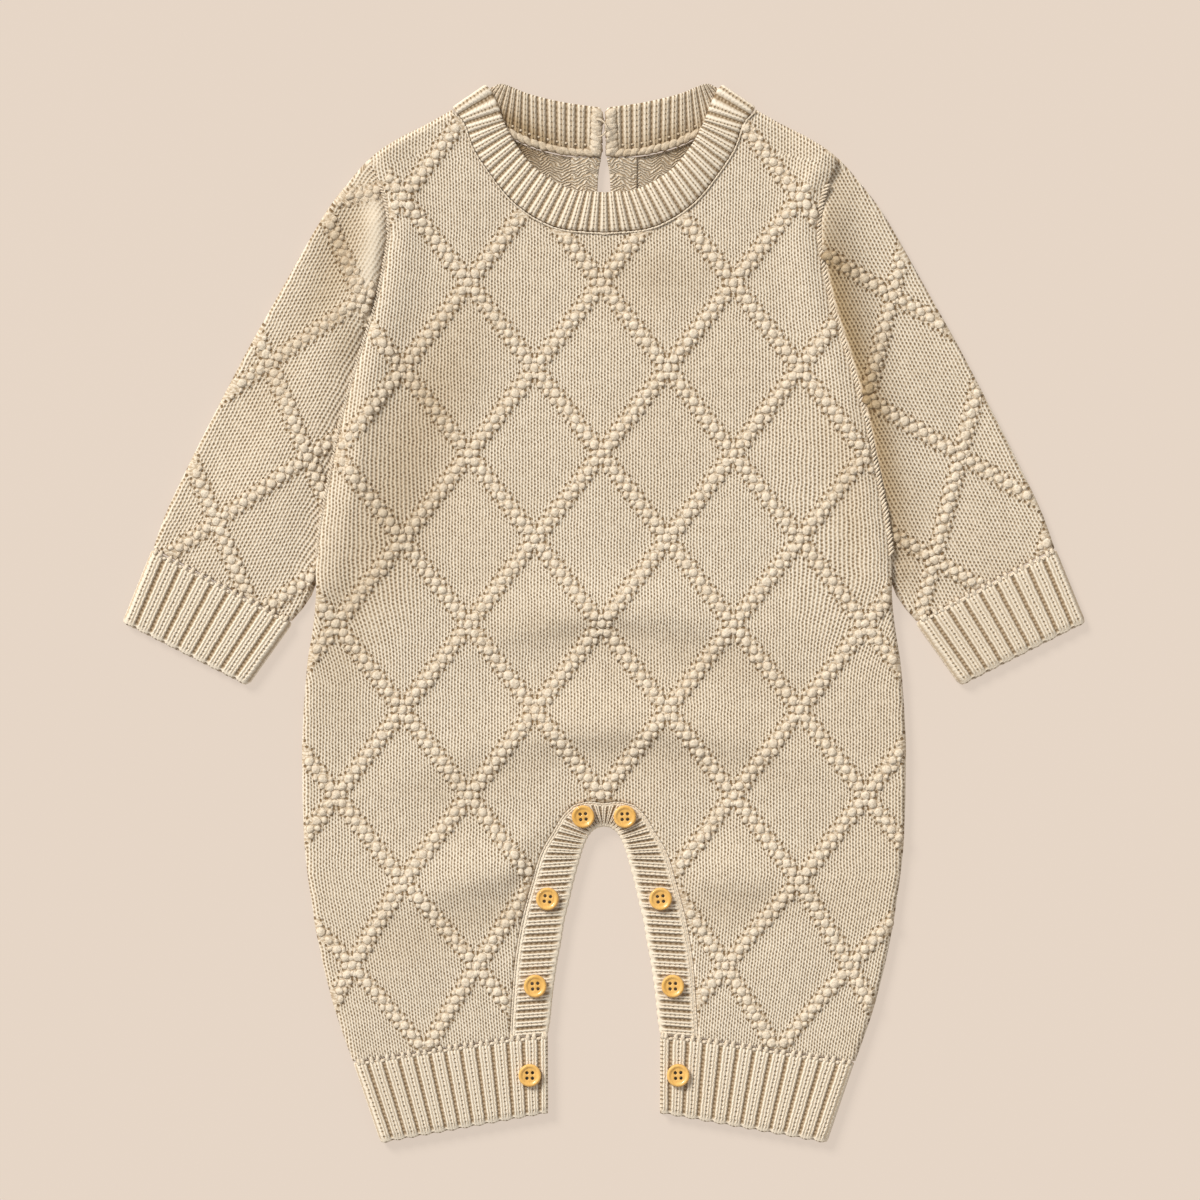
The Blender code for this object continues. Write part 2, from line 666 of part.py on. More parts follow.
def cuff(name, side, area, width, length, radius, ribs, closed):
    """A ribbed cuff pressed flat, its ribs raised on the upper wall."""
    tube = FlatTube(area, width, length, CUFF_KNIT, radius, closed)
    pitch = width / ribs
    raised = []
    for rib in range(ribs):
        middle = tube.quarter + (rib + 0.5) * pitch
        for off in (-RIB_FOOT, -RIB_CREST, RIB_CREST, RIB_FOOT):
            at = middle + off * pitch / 2
            raised.append(np.array([(at, 0.0), (at, length / 2), (at, length)]))

    def relief(points):
        share = tube.top_share(points)
        off = np.abs((share * ribs) % 1 - 0.5) * 2
        height = np.clip((RIB_FOOT - off) / (RIB_FOOT - RIB_CREST), 0, 1)
        return np.where((share > 0) & (share < 1), height * RIB_HEIGHT, 0)

    cloth(name, tube.loop(20), tube.place, CUFF_KNIT, tube.folds(20), raised, relief=relief, side=side)


def sleeve_cuff_area():
    inner, outer = (np.array(SLEEVE_CUFF[edge]) for edge in ("inner", "outer"))
    return patch(np.array([inner[0], outer[0]]), np.array([inner[1], outer[1]]), inner, outer)


def leg_cuff_area():
    inner, outer = (np.array(LEG_CUFF[edge]) for edge in ("inner", "outer"))
    seam = np.array([inner[0], np.array(CROTCH_SEAM[0]) - (0, 0.5), outer[0]])
    return patch(seam, np.array([inner[1], outer[1]]), inner, outer)


# Neckband


NECK_FOLD_RADIUS = 1.95
NECKBAND_WIDTH = 20.0
NECK_TURN = (0.565, 0.826)  # the way out, in plan, of the neckband's fold at the shoulder


def neckband():
    """One ribbed band: it lies on the front, turns over at each shoulder and lies on the floor at the back, its
    two ends side by side at the slit."""
    front = smooth(np.hstack([NECK_SEAM, NECK_EDGE]), 5)
    back = smooth(np.hstack([BACK_NECK_SEAM, BACK_NECK_EDGE]), 5)

    def reach(rows):
        return np.concatenate([[0.0], np.cumsum(np.hypot(*np.diff(rows[:, :2], axis=0).T))])

    front_reach, back_reach = reach(front), reach(back)
    fold = math.pi * NECK_FOLD_RADIUS
    half = front_reach[-1] + fold + back_reach[-1]
    ribs = round(2 * half / NECK_RIB_PITCH / 2) * 2
    pitch = 2 * half / ribs

    def place(points):
        sign = np.where(points[:, 0] < 0, -1.0, 1.0)
        t = np.abs(points[:, 0])
        behind = t - front_reach[-1] - fold
        rows = np.column_stack([np.interp(t, front_reach, column) for column in front.T])
        rows_back = np.column_stack([np.interp(behind, back_reach, column) for column in back.T])
        rows = np.where((behind > 0)[:, None], rows_back, rows)
        share = (points[:, 1] / NECKBAND_WIDTH)[:, None]
        plan = rows[:, :2] * (1 - share) + rows[:, 2:] * share
        turn = np.clip((t - front_reach[-1]) / NECK_FOLD_RADIUS, 0, math.pi)
        plan = plan + np.outer(np.sin(turn) * NECK_FOLD_RADIUS, NECK_TURN)
        level = NECKBAND_KNIT / 2 + NECK_FOLD_RADIUS * (1 + np.cos(turn))
        out = np.column_stack([np.outer(np.sin(turn), NECK_TURN), np.cos(turn)])
        plan[:, 0] *= sign
        out[:, 0] *= sign
        return np.column_stack([plan, level]), out

    def ribbed(points):
        return NECK_RIB_HEIGHT * (0.5 + 0.5 * np.cos(2 * math.pi * points[:, 0] / pitch))

    def outer_ribs(points):
        lies_down = np.clip((np.abs(points[:, 0]) - front_reach[-1]) / fold, 0, 1)
        return ribbed(points) * (1 - lies_down)

    def inner_ribs(points):
        shows = np.abs(points[:, 0]) > front_reach[-1] + fold
        return ribbed(points) * shows

    at = np.arange(-ribs, ribs + 1) * pitch / 2
    rows = [np.array([(t, 0.0), (t, NECKBAND_WIDTH)]) for t in at[1:-1]]
    turns = front_reach[-1] + np.linspace(0, fold, 5)
    folds = [np.array([(t * s, 0.0), (t * s, NECKBAND_WIDTH)]) for t in turns for s in (-1, 1)]
    ends = np.array([(-half, 0.0), (half, 0.0), (half, NECKBAND_WIDTH), (-half, NECKBAND_WIDTH)])
    cloth("neckband", ends, place, NECKBAND_KNIT, folds, rows, relief=outer_ribs, inner_relief=inner_ribs)


# Crotch opening


def crotch_band(name, level, ribs):
    """A band round the crotch from one leg cuff over the arch to the other, ribbed across where it shows."""
    outer = shifted(joined(smooth(CROTCH_SEAM, 6), smooth(CROTCH_TOP, 6)), SEAM_GAP)
    outer[-1] = (0, outer[-1, 1])
    inner = smooth(ARCH, 6)
    outer_whole = joined(outer, outer[::-1] * (-1, 1))
    inner_whole = joined(inner, inner[::-1] * (-1, 1))
    length, width = 260.0, 16.0
    at = np.linspace(0, length, 2 * CROTCH_RIBS + 1 if ribs else 41)

    def place(points):
        share = points[:, 0] / length
        f = (points[:, 1] / width)[:, None]
        plan = along(outer_whole, share) * (1 - f) + along(inner_whole, share) * f
        flat = np.ones(len(points))
        return np.column_stack([plan, flat * level]), np.column_stack([0 * plan, flat])

    def relief(points):
        return CROTCH_RIB_HEIGHT * (0.5 - 0.5 * np.cos(2 * math.pi * points[:, 0] / length * CROTCH_RIBS))

    loop = np.concatenate([np.column_stack([at, 0 * at]), np.column_stack([at[::-1], 0 * at + width])])
    rows = [np.array([(t, 0.0), (t, width)]) for t in at[1:-1]]
    cloth(name, loop, place, BODY_KNIT, (), rows if ribs else (), relief=relief if ribs else None)


def facing(name, side):
    """A narrow facing down one side of the back slit, on the inside."""
    slit = smooth(BACK_SLIT[2:], 12) + (0.1, 0)
    loop = np.concatenate([[(16.0, slit[0, 1]), (16.0, slit[-1, 1])], slit[::-1]])

    def place(points):
        flat = np.ones(len(points))
        return np.column_stack([points, flat * FACING_LEVEL]), np.column_stack([0 * points, flat])

    cloth(name, loop, place, FACING_KNIT, side=side, colour=OAT_INSIDE)


def button(name, x, y, level):
    """A turned wooden button with a raised rim and four holes."""
    sides = 22
    profile = ((0.62, 0.0), (0.72, 0.35), (0.84, 0.62), (0.95, 0.62))

    def ring(radius, count, middle=(0.0, 0.0)):
        turn = np.arange(count) * 2 * math.pi / count
        return np.column_stack([middle[0] + radius * np.cos(turn), middle[1] + radius * np.sin(turn)])

    apart = BUTTON_HOLE_APART / 2
    holes = [ring(BUTTON_HOLE, 6, (i * apart, j * apart)) for i in (-1, 1) for j in (-1, 1)]
    rings = [ring(BUTTON_RADIUS * share, sides) for share, _ in profile]
    rings = [np.concatenate([circle, circle[:1]]) for circle in rings]
    cut, triangles = triangles_in(ring(BUTTON_RADIUS, sides), rings, holes=holes)
    radius = np.hypot(*cut.T) / BUTTON_RADIUS
    shares, heights = np.array([*profile, (1.0, 0.0)]).T
    top = BUTTON_THICK - 0.62 + np.interp(radius, shares, heights)
    bottom = np.where(radius > 0.99, 0.5, 0.0)
    count = len(cut)
    points = np.concatenate([np.column_stack([cut, bottom]), np.column_stack([cut, top])]) + (x, y, level)
    walls = []
    for a, b in rim_of(triangles):
        walls += [(b + count, a + count, a), (b + count, a, b)]
    faces = [*(triangles + count), *triangles[:, ::-1], *walls]
    add_object(name, points, faces, BUTTON_WOOD, roughness=0.4)


for leftover in list(bpy.data.objects):
    bpy.data.objects.remove(leftover)

front_panel()
back_panel()
for side_name, side in (("left", -1), ("right", 1)):
    sleeve(f"sleeve_{side_name}", side, SLEEVE_LATTICE[side_name])
    cuff(f"sleeve_cuff_{side_name}", side, sleeve_cuff_area(), 72.0, 38.0, 1.2, SLEEVE_CUFF_RIBS, True)
    cuff(f"leg_cuff_{side_name}", side, leg_cuff_area(), 88.0, 40.0, 1.75, LEG_CUFF_RIBS, False)
    facing(f"back_facing_{side_name}", side)
neckband()
crotch_band("crotch_band_back", BODY_KNIT / 2, False)
crotch_band("crotch_band_front", CROTCH_LEVEL, True)
on_band = CROTCH_LEVEL + BODY_KNIT / 2 + CROTCH_RIB_HEIGHT + SEAM_GAP
on_cuff = 2 * 1.75 + CUFF_KNIT + RIB_HEIGHT + SEAM_GAP
for row, (x, y) in enumerate(BUTTONS, 1):
    level = on_cuff if row == len(BUTTONS) else on_band
    button(f"button_left_{row}", -x, y, level)
    button(f"button_right_{row}", x, y, level)
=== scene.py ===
"""Baby romper knitted in oat cotton, lying flat on its back on a pale floor, neck towards +Y.

Lengths are millimetres in the object's own frame until a mesh is made. Every knitted piece is a closed wall of
cloth: a flat cut, laid by a function that gives the middle of the wall and the way out of its outer face.
"""

import math

import bpy
import numpy as np
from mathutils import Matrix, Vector
from mathutils.geometry import delaunay_2d_cdt


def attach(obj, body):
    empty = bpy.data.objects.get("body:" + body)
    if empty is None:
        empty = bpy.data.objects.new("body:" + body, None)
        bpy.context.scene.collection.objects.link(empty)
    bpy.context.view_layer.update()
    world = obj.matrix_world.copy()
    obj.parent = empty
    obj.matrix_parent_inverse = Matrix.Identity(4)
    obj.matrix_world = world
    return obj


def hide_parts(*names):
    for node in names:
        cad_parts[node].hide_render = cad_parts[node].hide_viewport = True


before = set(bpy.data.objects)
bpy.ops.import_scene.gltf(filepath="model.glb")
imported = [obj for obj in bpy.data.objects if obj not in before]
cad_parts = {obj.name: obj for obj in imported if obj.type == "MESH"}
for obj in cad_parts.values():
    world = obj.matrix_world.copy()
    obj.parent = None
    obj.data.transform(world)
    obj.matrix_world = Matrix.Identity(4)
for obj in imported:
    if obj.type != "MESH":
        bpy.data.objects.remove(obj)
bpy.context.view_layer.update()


# Floor, light and camera. The romper lies on a plain pale sheet under soft light: an even sky, and one broad
# lamp from beyond the left shoulder. The camera looks straight down.

MM = 0.001
VIEW_CENTRE = (-2.0, 6.0)
VIEW_WIDTH = 600.0
CAMERA_HEIGHT = 2600.0
SENSOR_WIDTH = 36.0
FLOOR_HALF = 4000.0
FLOOR_LEVEL = -0.2  # just below the cloth
FLOOR_COLOUR = (0.78, 0.663, 0.563)
FLOOR_GLOW = 0.8  # share of the floor's own light, as on a lit table, so that no hard shadow falls on it
SKY_STRENGTH = 0.46
LAMP_STRENGTH = 3.35
LAMP_WIDTH = math.radians(22)
LAMP_TILT = math.radians(54)  # from straight down
LAMP_BEARING = math.radians(132)  # from +X, towards +Y


class Graph:
    """Puts nodes in a shader tree and joins them."""

    def __init__(self, tree):
        self.tree = tree

    def add(self, kind, **settings):
        node = self.tree.nodes.new("ShaderNode" + kind)
        for name, value in settings.items():
            setattr(node, name, value)
        return node

    def feed(self, socket, value):
        if isinstance(value, bpy.types.NodeSocket):
            self.tree.links.new(value, socket)
        else:
            socket.default_value = value

    def math(self, operation, *values, clamp=False):
        node = self.add("Math", operation=operation, use_clamp=clamp)
        for socket, value in zip(node.inputs, values):
            self.feed(socket, value)
        return node.outputs[0]

    def plus(self, first, second):
        return self.math("ADD", first, second)

    def minus(self, first, second):
        return self.math("SUBTRACT", first, second)

    def times(self, first, second, clamp=False):
        return self.math("MULTIPLY", first, second, clamp=clamp)

    def times_plus(self, first, second, added, clamp=False):
        return self.math("MULTIPLY_ADD", first, second, added, clamp=clamp)

    def cosine(self, turn):
        return self.math("COSINE", turn)

    def xyz(self, vector):
        node = self.add("SeparateXYZ")
        self.feed(node.inputs[0], vector)
        return node.outputs

    def shifted(self, vector, amount):
        """The vector moved to a far part of a pattern, so that two patterns from one vector differ."""
        node = self.add("VectorMath", operation="ADD")
        self.feed(node.inputs[0], vector)
        node.inputs[1].default_value = (amount, amount * 1.7, 0)
        return node.outputs[0]

    def place(self):
        return self.add("TexCoord").outputs["Object"]

    def uv(self, title):
        return self.add("UVMap", uv_map=title).outputs[0]

    def attribute(self, title):
        return self.add("Attribute", attribute_name=title).outputs["Fac"]

    def group(self, tree, vector):
        """A group of nodes whose first input is the vector."""
        node = self.add("Group", node_tree=tree)
        self.feed(node.inputs[0], vector)
        return node

    def step(self, value, low, high, to_low=0.0, to_high=1.0):
        """A smooth step of the value between two limits."""
        node = self.add("MapRange", interpolation_type="SMOOTHSTEP")
        for socket, given in zip(node.inputs, (value, low, high, to_low, to_high)):
            self.feed(socket, given)
        return node.outputs[0]

    def noise(self, vector, scale, detail=2.0, roughness=0.5):
        node = self.add("TexNoise")
        self.feed(node.inputs["Vector"], vector)
        node.inputs["Scale"].default_value = scale
        node.inputs["Detail"].default_value = detail
        node.inputs["Roughness"].default_value = roughness
        return node.outputs["Fac"]

    def blend(self, share, first, second):
        node = self.add("Mix", data_type="RGBA")
        self.feed(node.inputs[0], share)
        self.feed(node.inputs[6], first)
        self.feed(node.inputs[7], second)
        return node.outputs[2]


def new_material(name, roughness, sheen=0.0, specular=0.5):
    """A material, its graph, and its Principled shader."""
    material = bpy.data.materials.new(name)
    material.use_nodes = True
    shader = material.node_tree.nodes["Principled BSDF"]
    shader.inputs["Roughness"].default_value = roughness
    shader.inputs["Sheen Weight"].default_value = sheen
    shader.inputs["Specular IOR Level"].default_value = specular
    return material, Graph(material.node_tree), shader


def make_floor():
    side = FLOOR_HALF * MM
    corners = [(x * side, y * side, FLOOR_LEVEL * MM) for x, y in ((-1, -1), (1, -1), (1, 1), (-1, 1))]
    mesh = bpy.data.meshes.new("floor")
    mesh.from_pydata(corners, [], [(0, 1, 2, 3)])
    material, graph, shader = new_material("pale floor", 0.9, specular=0.0)
    tone = graph.noise(graph.place(), 3.0, detail=1.0)
    colour = graph.blend(tone, *((*(part * change for part in FLOOR_COLOUR), 1) for change in (0.995, 1.005)))
    dimmed = graph.blend(FLOOR_GLOW, colour, (0, 0, 0, 1))
    graph.feed(shader.inputs["Base Color"], dimmed)
    graph.feed(shader.inputs["Emission Color"], colour)
    shader.inputs["Emission Strength"].default_value = FLOOR_GLOW
    mesh.materials.append(material)
    floor = bpy.data.objects.new("floor", mesh)
    bpy.context.scene.collection.objects.link(floor)


def make_light():
    world = bpy.data.worlds.new("even sky")
    world.use_nodes = True
    background = world.node_tree.nodes["Background"]
    background.inputs["Color"].default_value = (1.0, 0.985, 0.96, 1)
    background.inputs["Strength"].default_value = SKY_STRENGTH
    bpy.context.scene.world = world
    lamp = bpy.data.lights.new("broad lamp", "SUN")
    lamp.energy = LAMP_STRENGTH
    lamp.angle = LAMP_WIDTH
    lamp.color = (1.0, 0.985, 0.955)
    placed = bpy.data.objects.new("broad lamp", lamp)
    aside = math.sin(LAMP_TILT)
    towards = Vector((aside * math.cos(LAMP_BEARING), aside * math.sin(LAMP_BEARING), math.cos(LAMP_TILT)))
    placed.rotation_mode = "QUATERNION"
    placed.rotation_quaternion = towards.to_track_quat("Z", "Y")
    placed.location = towards * 3
    bpy.context.scene.collection.objects.link(placed)


def make_camera():
    lens = bpy.data.cameras.new("camera")
    lens.sensor_width = SENSOR_WIDTH
    lens.lens = SENSOR_WIDTH * CAMERA_HEIGHT / VIEW_WIDTH
    camera = bpy.data.objects.new("camera", lens)
    camera.location = (VIEW_CENTRE[0] * MM, VIEW_CENTRE[1] * MM, CAMERA_HEIGHT * MM)
    bpy.context.scene.collection.objects.link(camera)
    bpy.context.scene.camera = camera


bpy.context.scene.view_settings.view_transform = "Standard"
make_floor()
make_light()
make_camera()


# Front panel. It is the front of the body and of both legs in one piece of smooth knit, its sides rolled down into
# the side seams. A diamond lattice of bobbles stands on it. It lies over the back, over the seams of both sleeves.

BODY_KNIT = 2.2
SEAM_GAP = 0.3
EDGE_ROUND = 0.8  # how far the rim of a wall bulges out between its two faces
FRONT_LEVEL = 5.3
OVER_SLEEVE = 1.35
SLEEVE_REACH = 28.0
CROWN = 0.9
CROWN_REACH = 60.0
ROLL_WIDTH = 2.97
SIDE_ROLL = math.radians(85)
ARMHOLE_ROLL = math.radians(55)
SHOULDER_ROLL = (198, 212, 226, 230), (1, 0.3, 0.3, 1)  # levels, and what is left of the roll at each
BODY_STEP = 1.35  # of the outer face's points
PLAIN_STEP = 6.0  # of an inner face's points

WALES, COURSES = 10, 20  # of the bobble bands, across and up half a diamond
STITCHES = (10.8, 21.4)  # of the smooth knit, across and up half a diamond
LATTICE_X = -1.5
LATTICE_Y = 36.5
HALF_DIAMOND = (33.0, 42.6)
LEG_TAPER = 0.0013
LEG_TAPER_FROM = -130.0
BAND_PITCH = 1 / math.hypot(1 / HALF_DIAMOND[0], 1 / HALF_DIAMOND[1])  # from one band to the next, halved
BAND_FOOT = 5.4
BAND_TOP = 2.6
BAND_HEIGHT = 0.5
DIAMOND_PUFF = 0.3

NECK_SEAM = (
    (0, 189.3), (24.9, 192.3), (45.3, 204.8), (56.2, 218.0), (65.0, 231.5), (70.5, 245.5), (74.1, 249.2),
)
SHOULDER = ((76.0, 250.8), (88.0, 244.0), (102.0, 236.8), (110.2, 231.6), (115.6, 227.2))
ARMHOLE = (
    (115.6, 227.2), (116.2, 224.4), (114.4, 219.8), (111.4, 213.6), (108.7, 206.0), (107.0, 190.0),
    (109.5, 172.0), (114.0, 152.0), (121.0, 130.0), (127.0, 110.0), (131.0, 95.0), (135.0, 75.0),
    (139.0, 55.0), (142.0, 38.0), (143.9, 20.0),
)
SIDE = (
    (143.9, 20.0), (143.7, 10.0), (145.0, -4.0), (148.0, -24.0), (149.8, -44.0), (150.8, -64.0),
    (150.8, -84.0), (150.3, -104.0), (149.0, -124.0), (146.3, -144.0), (143.0, -164.0), (138.5, -184.0),
    (132.8, -204.0), (125.5, -224.4),
)
HEM_SEAM = ((125.5, -224.4), (47.0, -212.4))
CROTCH_SEAM = (
    (47.0, -212.4), (45.8, -191.4), (44.3, -173.0), (41.2, -154.5), (36.1, -135.2), (31.0, -119.0),
    (24.9, -108.7), (20.4, -101.2), (15.4, -96.4),
)
CROTCH_TOP = ((15.4, -96.4), (8.5, -94.6), (0, -95.4))

# Soft ridges and troughs: middle x and y, half length, widths above and below, turn in degrees, how far the middle
# bows up out of a straight line, and height
FOLDS = (
    (10, 0, 62, 18, 9.5, 0, 12, 3.2),
    (10, -58, 74, 16, 10, 0, 10.5, 3.3),
    (-58, -131, 42, 15, 10, 16, 0, 3.3),
    (65, -133, 32, 14, 10, -4, 0, 2.3),
    (-90, 84, 74, 22, 20, 104, 0, -1.8),
    (-127, 84, 96, 16, 26, 101, 0, 3.4),
    (10, 166, 20, 8, 8, -50, 0, -0.8),
    (4, 92, 70, 22, 26, 78, 0, 0.7),
    (-23, -110, 30, 9, 12, 50, 0, 0.9),
)
FOLD_REACH = 14.0  # how far in from the rim they reach their full height
# Painted shade, darkening the knit's colour in the lee of the folds, in the same columns, with a depth from 0 to 1
FRONT_SHADES = (
    (-100, 66, 88, 22, 20, 70, 0, 0.44), (-82, 116, 26, 18, 18, 70, 0, 0.14), (30, 168, 28, 13, 13, 0, 0, 0.24),
    (124, 40, 30, 10, 10, 90, 0, 0.28), (118, 80, 26, 10, 10, 100, 0, 0.16), (-32, -8, 30, 11, 11, 0, 0, 0.18),
    (60, -26, 36, 8, 8, -18, 0, 0.14), (-42, -80, 26, 9, 9, 32, 0, 0.08), (45, -76, 30, 9, 9, 0, 0, 0.10),
    (-82, -88, 22, 10, 10, 10, 0, 0.14), (86, -85, 16, 9, 9, 0, 0, 0.10), (-30, -140, 20, 10, 10, 25, 0, 0.2),
    (-62, -152, 24, 8, 8, 15, 0, 0.18), (-98, -165, 18, 12, 12, 10, 0, 0.16), (60, -147, 34, 10, 10, 0, 0, 0.15),
    (-132, -40, 44, 14, 14, 90, 0, 0.12),
)
ARMHOLE_RIDGE = 1.1
ARMHOLE_RIDGE_IN = 9.0
ARMHOLE_RIDGE_WIDTH = 8.0
WALE_LEAN = 0.45  # how far the wales lean in beside the armhole, of its own way out from WALE_LEAN_FROM
WALE_LEAN_FROM = 112.0
WALE_LEAN_REACH = 60.0


def smooth(points, step):
    """Points about every step along one smooth curve through the given rows. The first two columns are x and y."""
    rows = np.array(points, float)
    chords = np.hypot(*np.diff(rows[:, :2], axis=0).T)
    knots = np.concatenate([[0.0], np.cumsum(chords)])
    slopes = np.gradient(rows, knots, axis=0)
    at = np.linspace(0, knots[-1], max(2, round(knots[-1] / step) + 1))
    row = np.clip(np.searchsorted(knots, at, side="right") - 1, 0, len(knots) - 2)
    span = (knots[row + 1] - knots[row])[:, None]
    f = (at - knots[row])[:, None] / span
    start = rows[row] * (1 + 2 * f) * (1 - f) ** 2 + slopes[row] * span * f * (1 - f) ** 2
    end = rows[row + 1] * f**2 * (3 - 2 * f) + slopes[row + 1] * span * f**2 * (f - 1)
    return start + end


def joined(*curves):
    """Curves end to end as one, with each shared end kept once."""
    rows = np.concatenate(curves)
    apart = np.linalg.norm(np.diff(rows, axis=0), axis=1) > 0.05
    return rows[np.concatenate([[True], apart])]


def mirrored(half):
    """The whole loop, anticlockwise, of a right half that runs clockwise from the middle back to the middle."""
    both = joined(half, half[::-1] * (-1, 1))
    if np.linalg.norm(both[0] - both[-1]) < 0.05:
        both = both[:-1]
    return both[::-1]


def sideways(line):
    """The unit vectors to the left of a line's run, at its points."""
    run = np.gradient(line, axis=0)
    run /= np.linalg.norm(run, axis=1)[:, None]
    return np.stack([-run[:, 1], run[:, 0]], axis=1)


def shifted(line, amount):
    """The line moved to its left."""
    return line + sideways(line) * amount


def drawn_in(loop, amount):
    """An anticlockwise loop moved inwards."""
    run = np.roll(loop, -1, axis=0) - np.roll(loop, 1, axis=0)
    run /= np.linalg.norm(run, axis=1)[:, None]
    return loop + np.stack([-run[:, 1], run[:, 0]], axis=1) * amount


def nearest(points, line):
    """For each point, its distance from a line, and where along it the foot is: a row number and a share."""
    start = line[:-1]
    run = line[1:] - start
    found = []
    for some in np.array_split(points, 1 + len(points) * len(line) // 2000000):
        share = ((some[:, None] - start) * run).sum(2) / (run * run).sum(1)
        share = np.clip(share, 0, 1)
        distance = np.linalg.norm(some[:, None] - (start + share[..., None] * run), axis=2)
        row = distance.argmin(1)
        each = np.arange(len(some))
        found.append((distance[each, row], row, share[each, row]))
    return tuple(np.concatenate(column) for column in zip(*found))


def between(values, row, share):
    """The values of a line's rows, read between them."""
    share = share.reshape(-1, *[1] * (values.ndim - 1))
    return values[row] * (1 - share) + values[row + 1] * share


def fade(distance, reach):
    """1 at no distance, falling smoothly to 0 at the reach."""
    f = np.clip(1 - distance / reach, 0, 1)
    return f * f * (3 - 2 * f)


def inside(points, loop):
    """Which points lie inside a loop."""
    within = np.zeros(len(points), bool)
    for (ax, ay), (bx, by) in zip(loop, np.roll(loop, -1, axis=0)):
        crosses = (points[:, 1] < ay) != (points[:, 1] < by)
        where = ax + (points[:, 1] - ay) / (by - ay if by != ay else 1.0) * (bx - ax)
        within ^= crosses & (points[:, 0] < where)
    return within


def filled(rim, coarse, step):
    """Points and triangles that fill a loop, and its rim's point numbers. coarse is the same loop in few points."""
    low, high = rim.min(0), rim.max(0)
    rows = np.arange(low[1], high[1], step * 0.866)
    dots = []
    for number, y in enumerate(rows):
        xs = np.arange(low[0] + (number % 2) * step / 2, high[0], step)
        dots.append(np.column_stack([xs, np.full_like(xs, y)]))
    dots = np.concatenate(dots)
    dots = dots[inside(dots, coarse)]
    dots = dots[nearest(dots, np.concatenate([coarse, coarse[:1]]))[0] > 0.75 * step + EDGE_ROUND]
    given = [Vector(p) for p in np.concatenate([rim, dots])]
    found, _, faces, origins, _, areas = delaunay_2d_cdt(given, [], [list(range(len(rim)))], 0, 0.001, True)
    faces = np.array([face for face, area in zip(faces, areas) if area])
    number_of = {source: number for number, sources in enumerate(origins) for source in sources}
    used, kept = np.unique(faces, return_inverse=True)
    renumbered = {old: new for new, old in enumerate(used)}
    loop = [renumbered[number_of[i]] for i in range(len(rim)) if number_of[i] in renumbered]
    return np.array([tuple(p) for p in found])[used], kept.reshape(-1, 3), np.array(loop)


def add_mesh(name, points, faces, materials, maps=None, values=None, side=1, inner_faces=()):
    """One mesh piece of the root body. Points are in millimetres, maps are UV maps and values are numbers, both one
    for each point. side is -1 for a piece mirrored to the wearer's right. inner_faces has the first number and the
    one past the last of the faces that take the second material."""
    mesh = bpy.data.meshes.new(name)
    points = np.asarray(points) * (side, 1, 1) * MM
    faces = [tuple(face)[::side] for face in faces]
    mesh.from_pydata(points.tolist(), [], faces)
    corner = np.empty(len(mesh.loops), np.int32)
    mesh.loops.foreach_get("vertex_index", corner)
    for title, pairs in (maps or {}).items():
        layer = mesh.uv_layers.new(name=title)
        layer.data.foreach_set("uv", np.asarray(pairs, np.float32)[corner].ravel())
    for title, numbers in (values or {}).items():
        given = mesh.attributes.new(title, "FLOAT", "POINT").data
        given.foreach_set("value", np.asarray(numbers, np.float32))
    mesh.shade_smooth()
    for material in materials:
        mesh.materials.append(material)
    if len(materials) > 1:
        second = np.zeros(len(faces), np.int32)
        second[slice(*inner_faces)] = 1
        mesh.polygons.foreach_set("material_index", second)
    made = bpy.data.objects.new(name, mesh)
    bpy.context.scene.collection.objects.link(made)
    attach(made, "root")
    return made


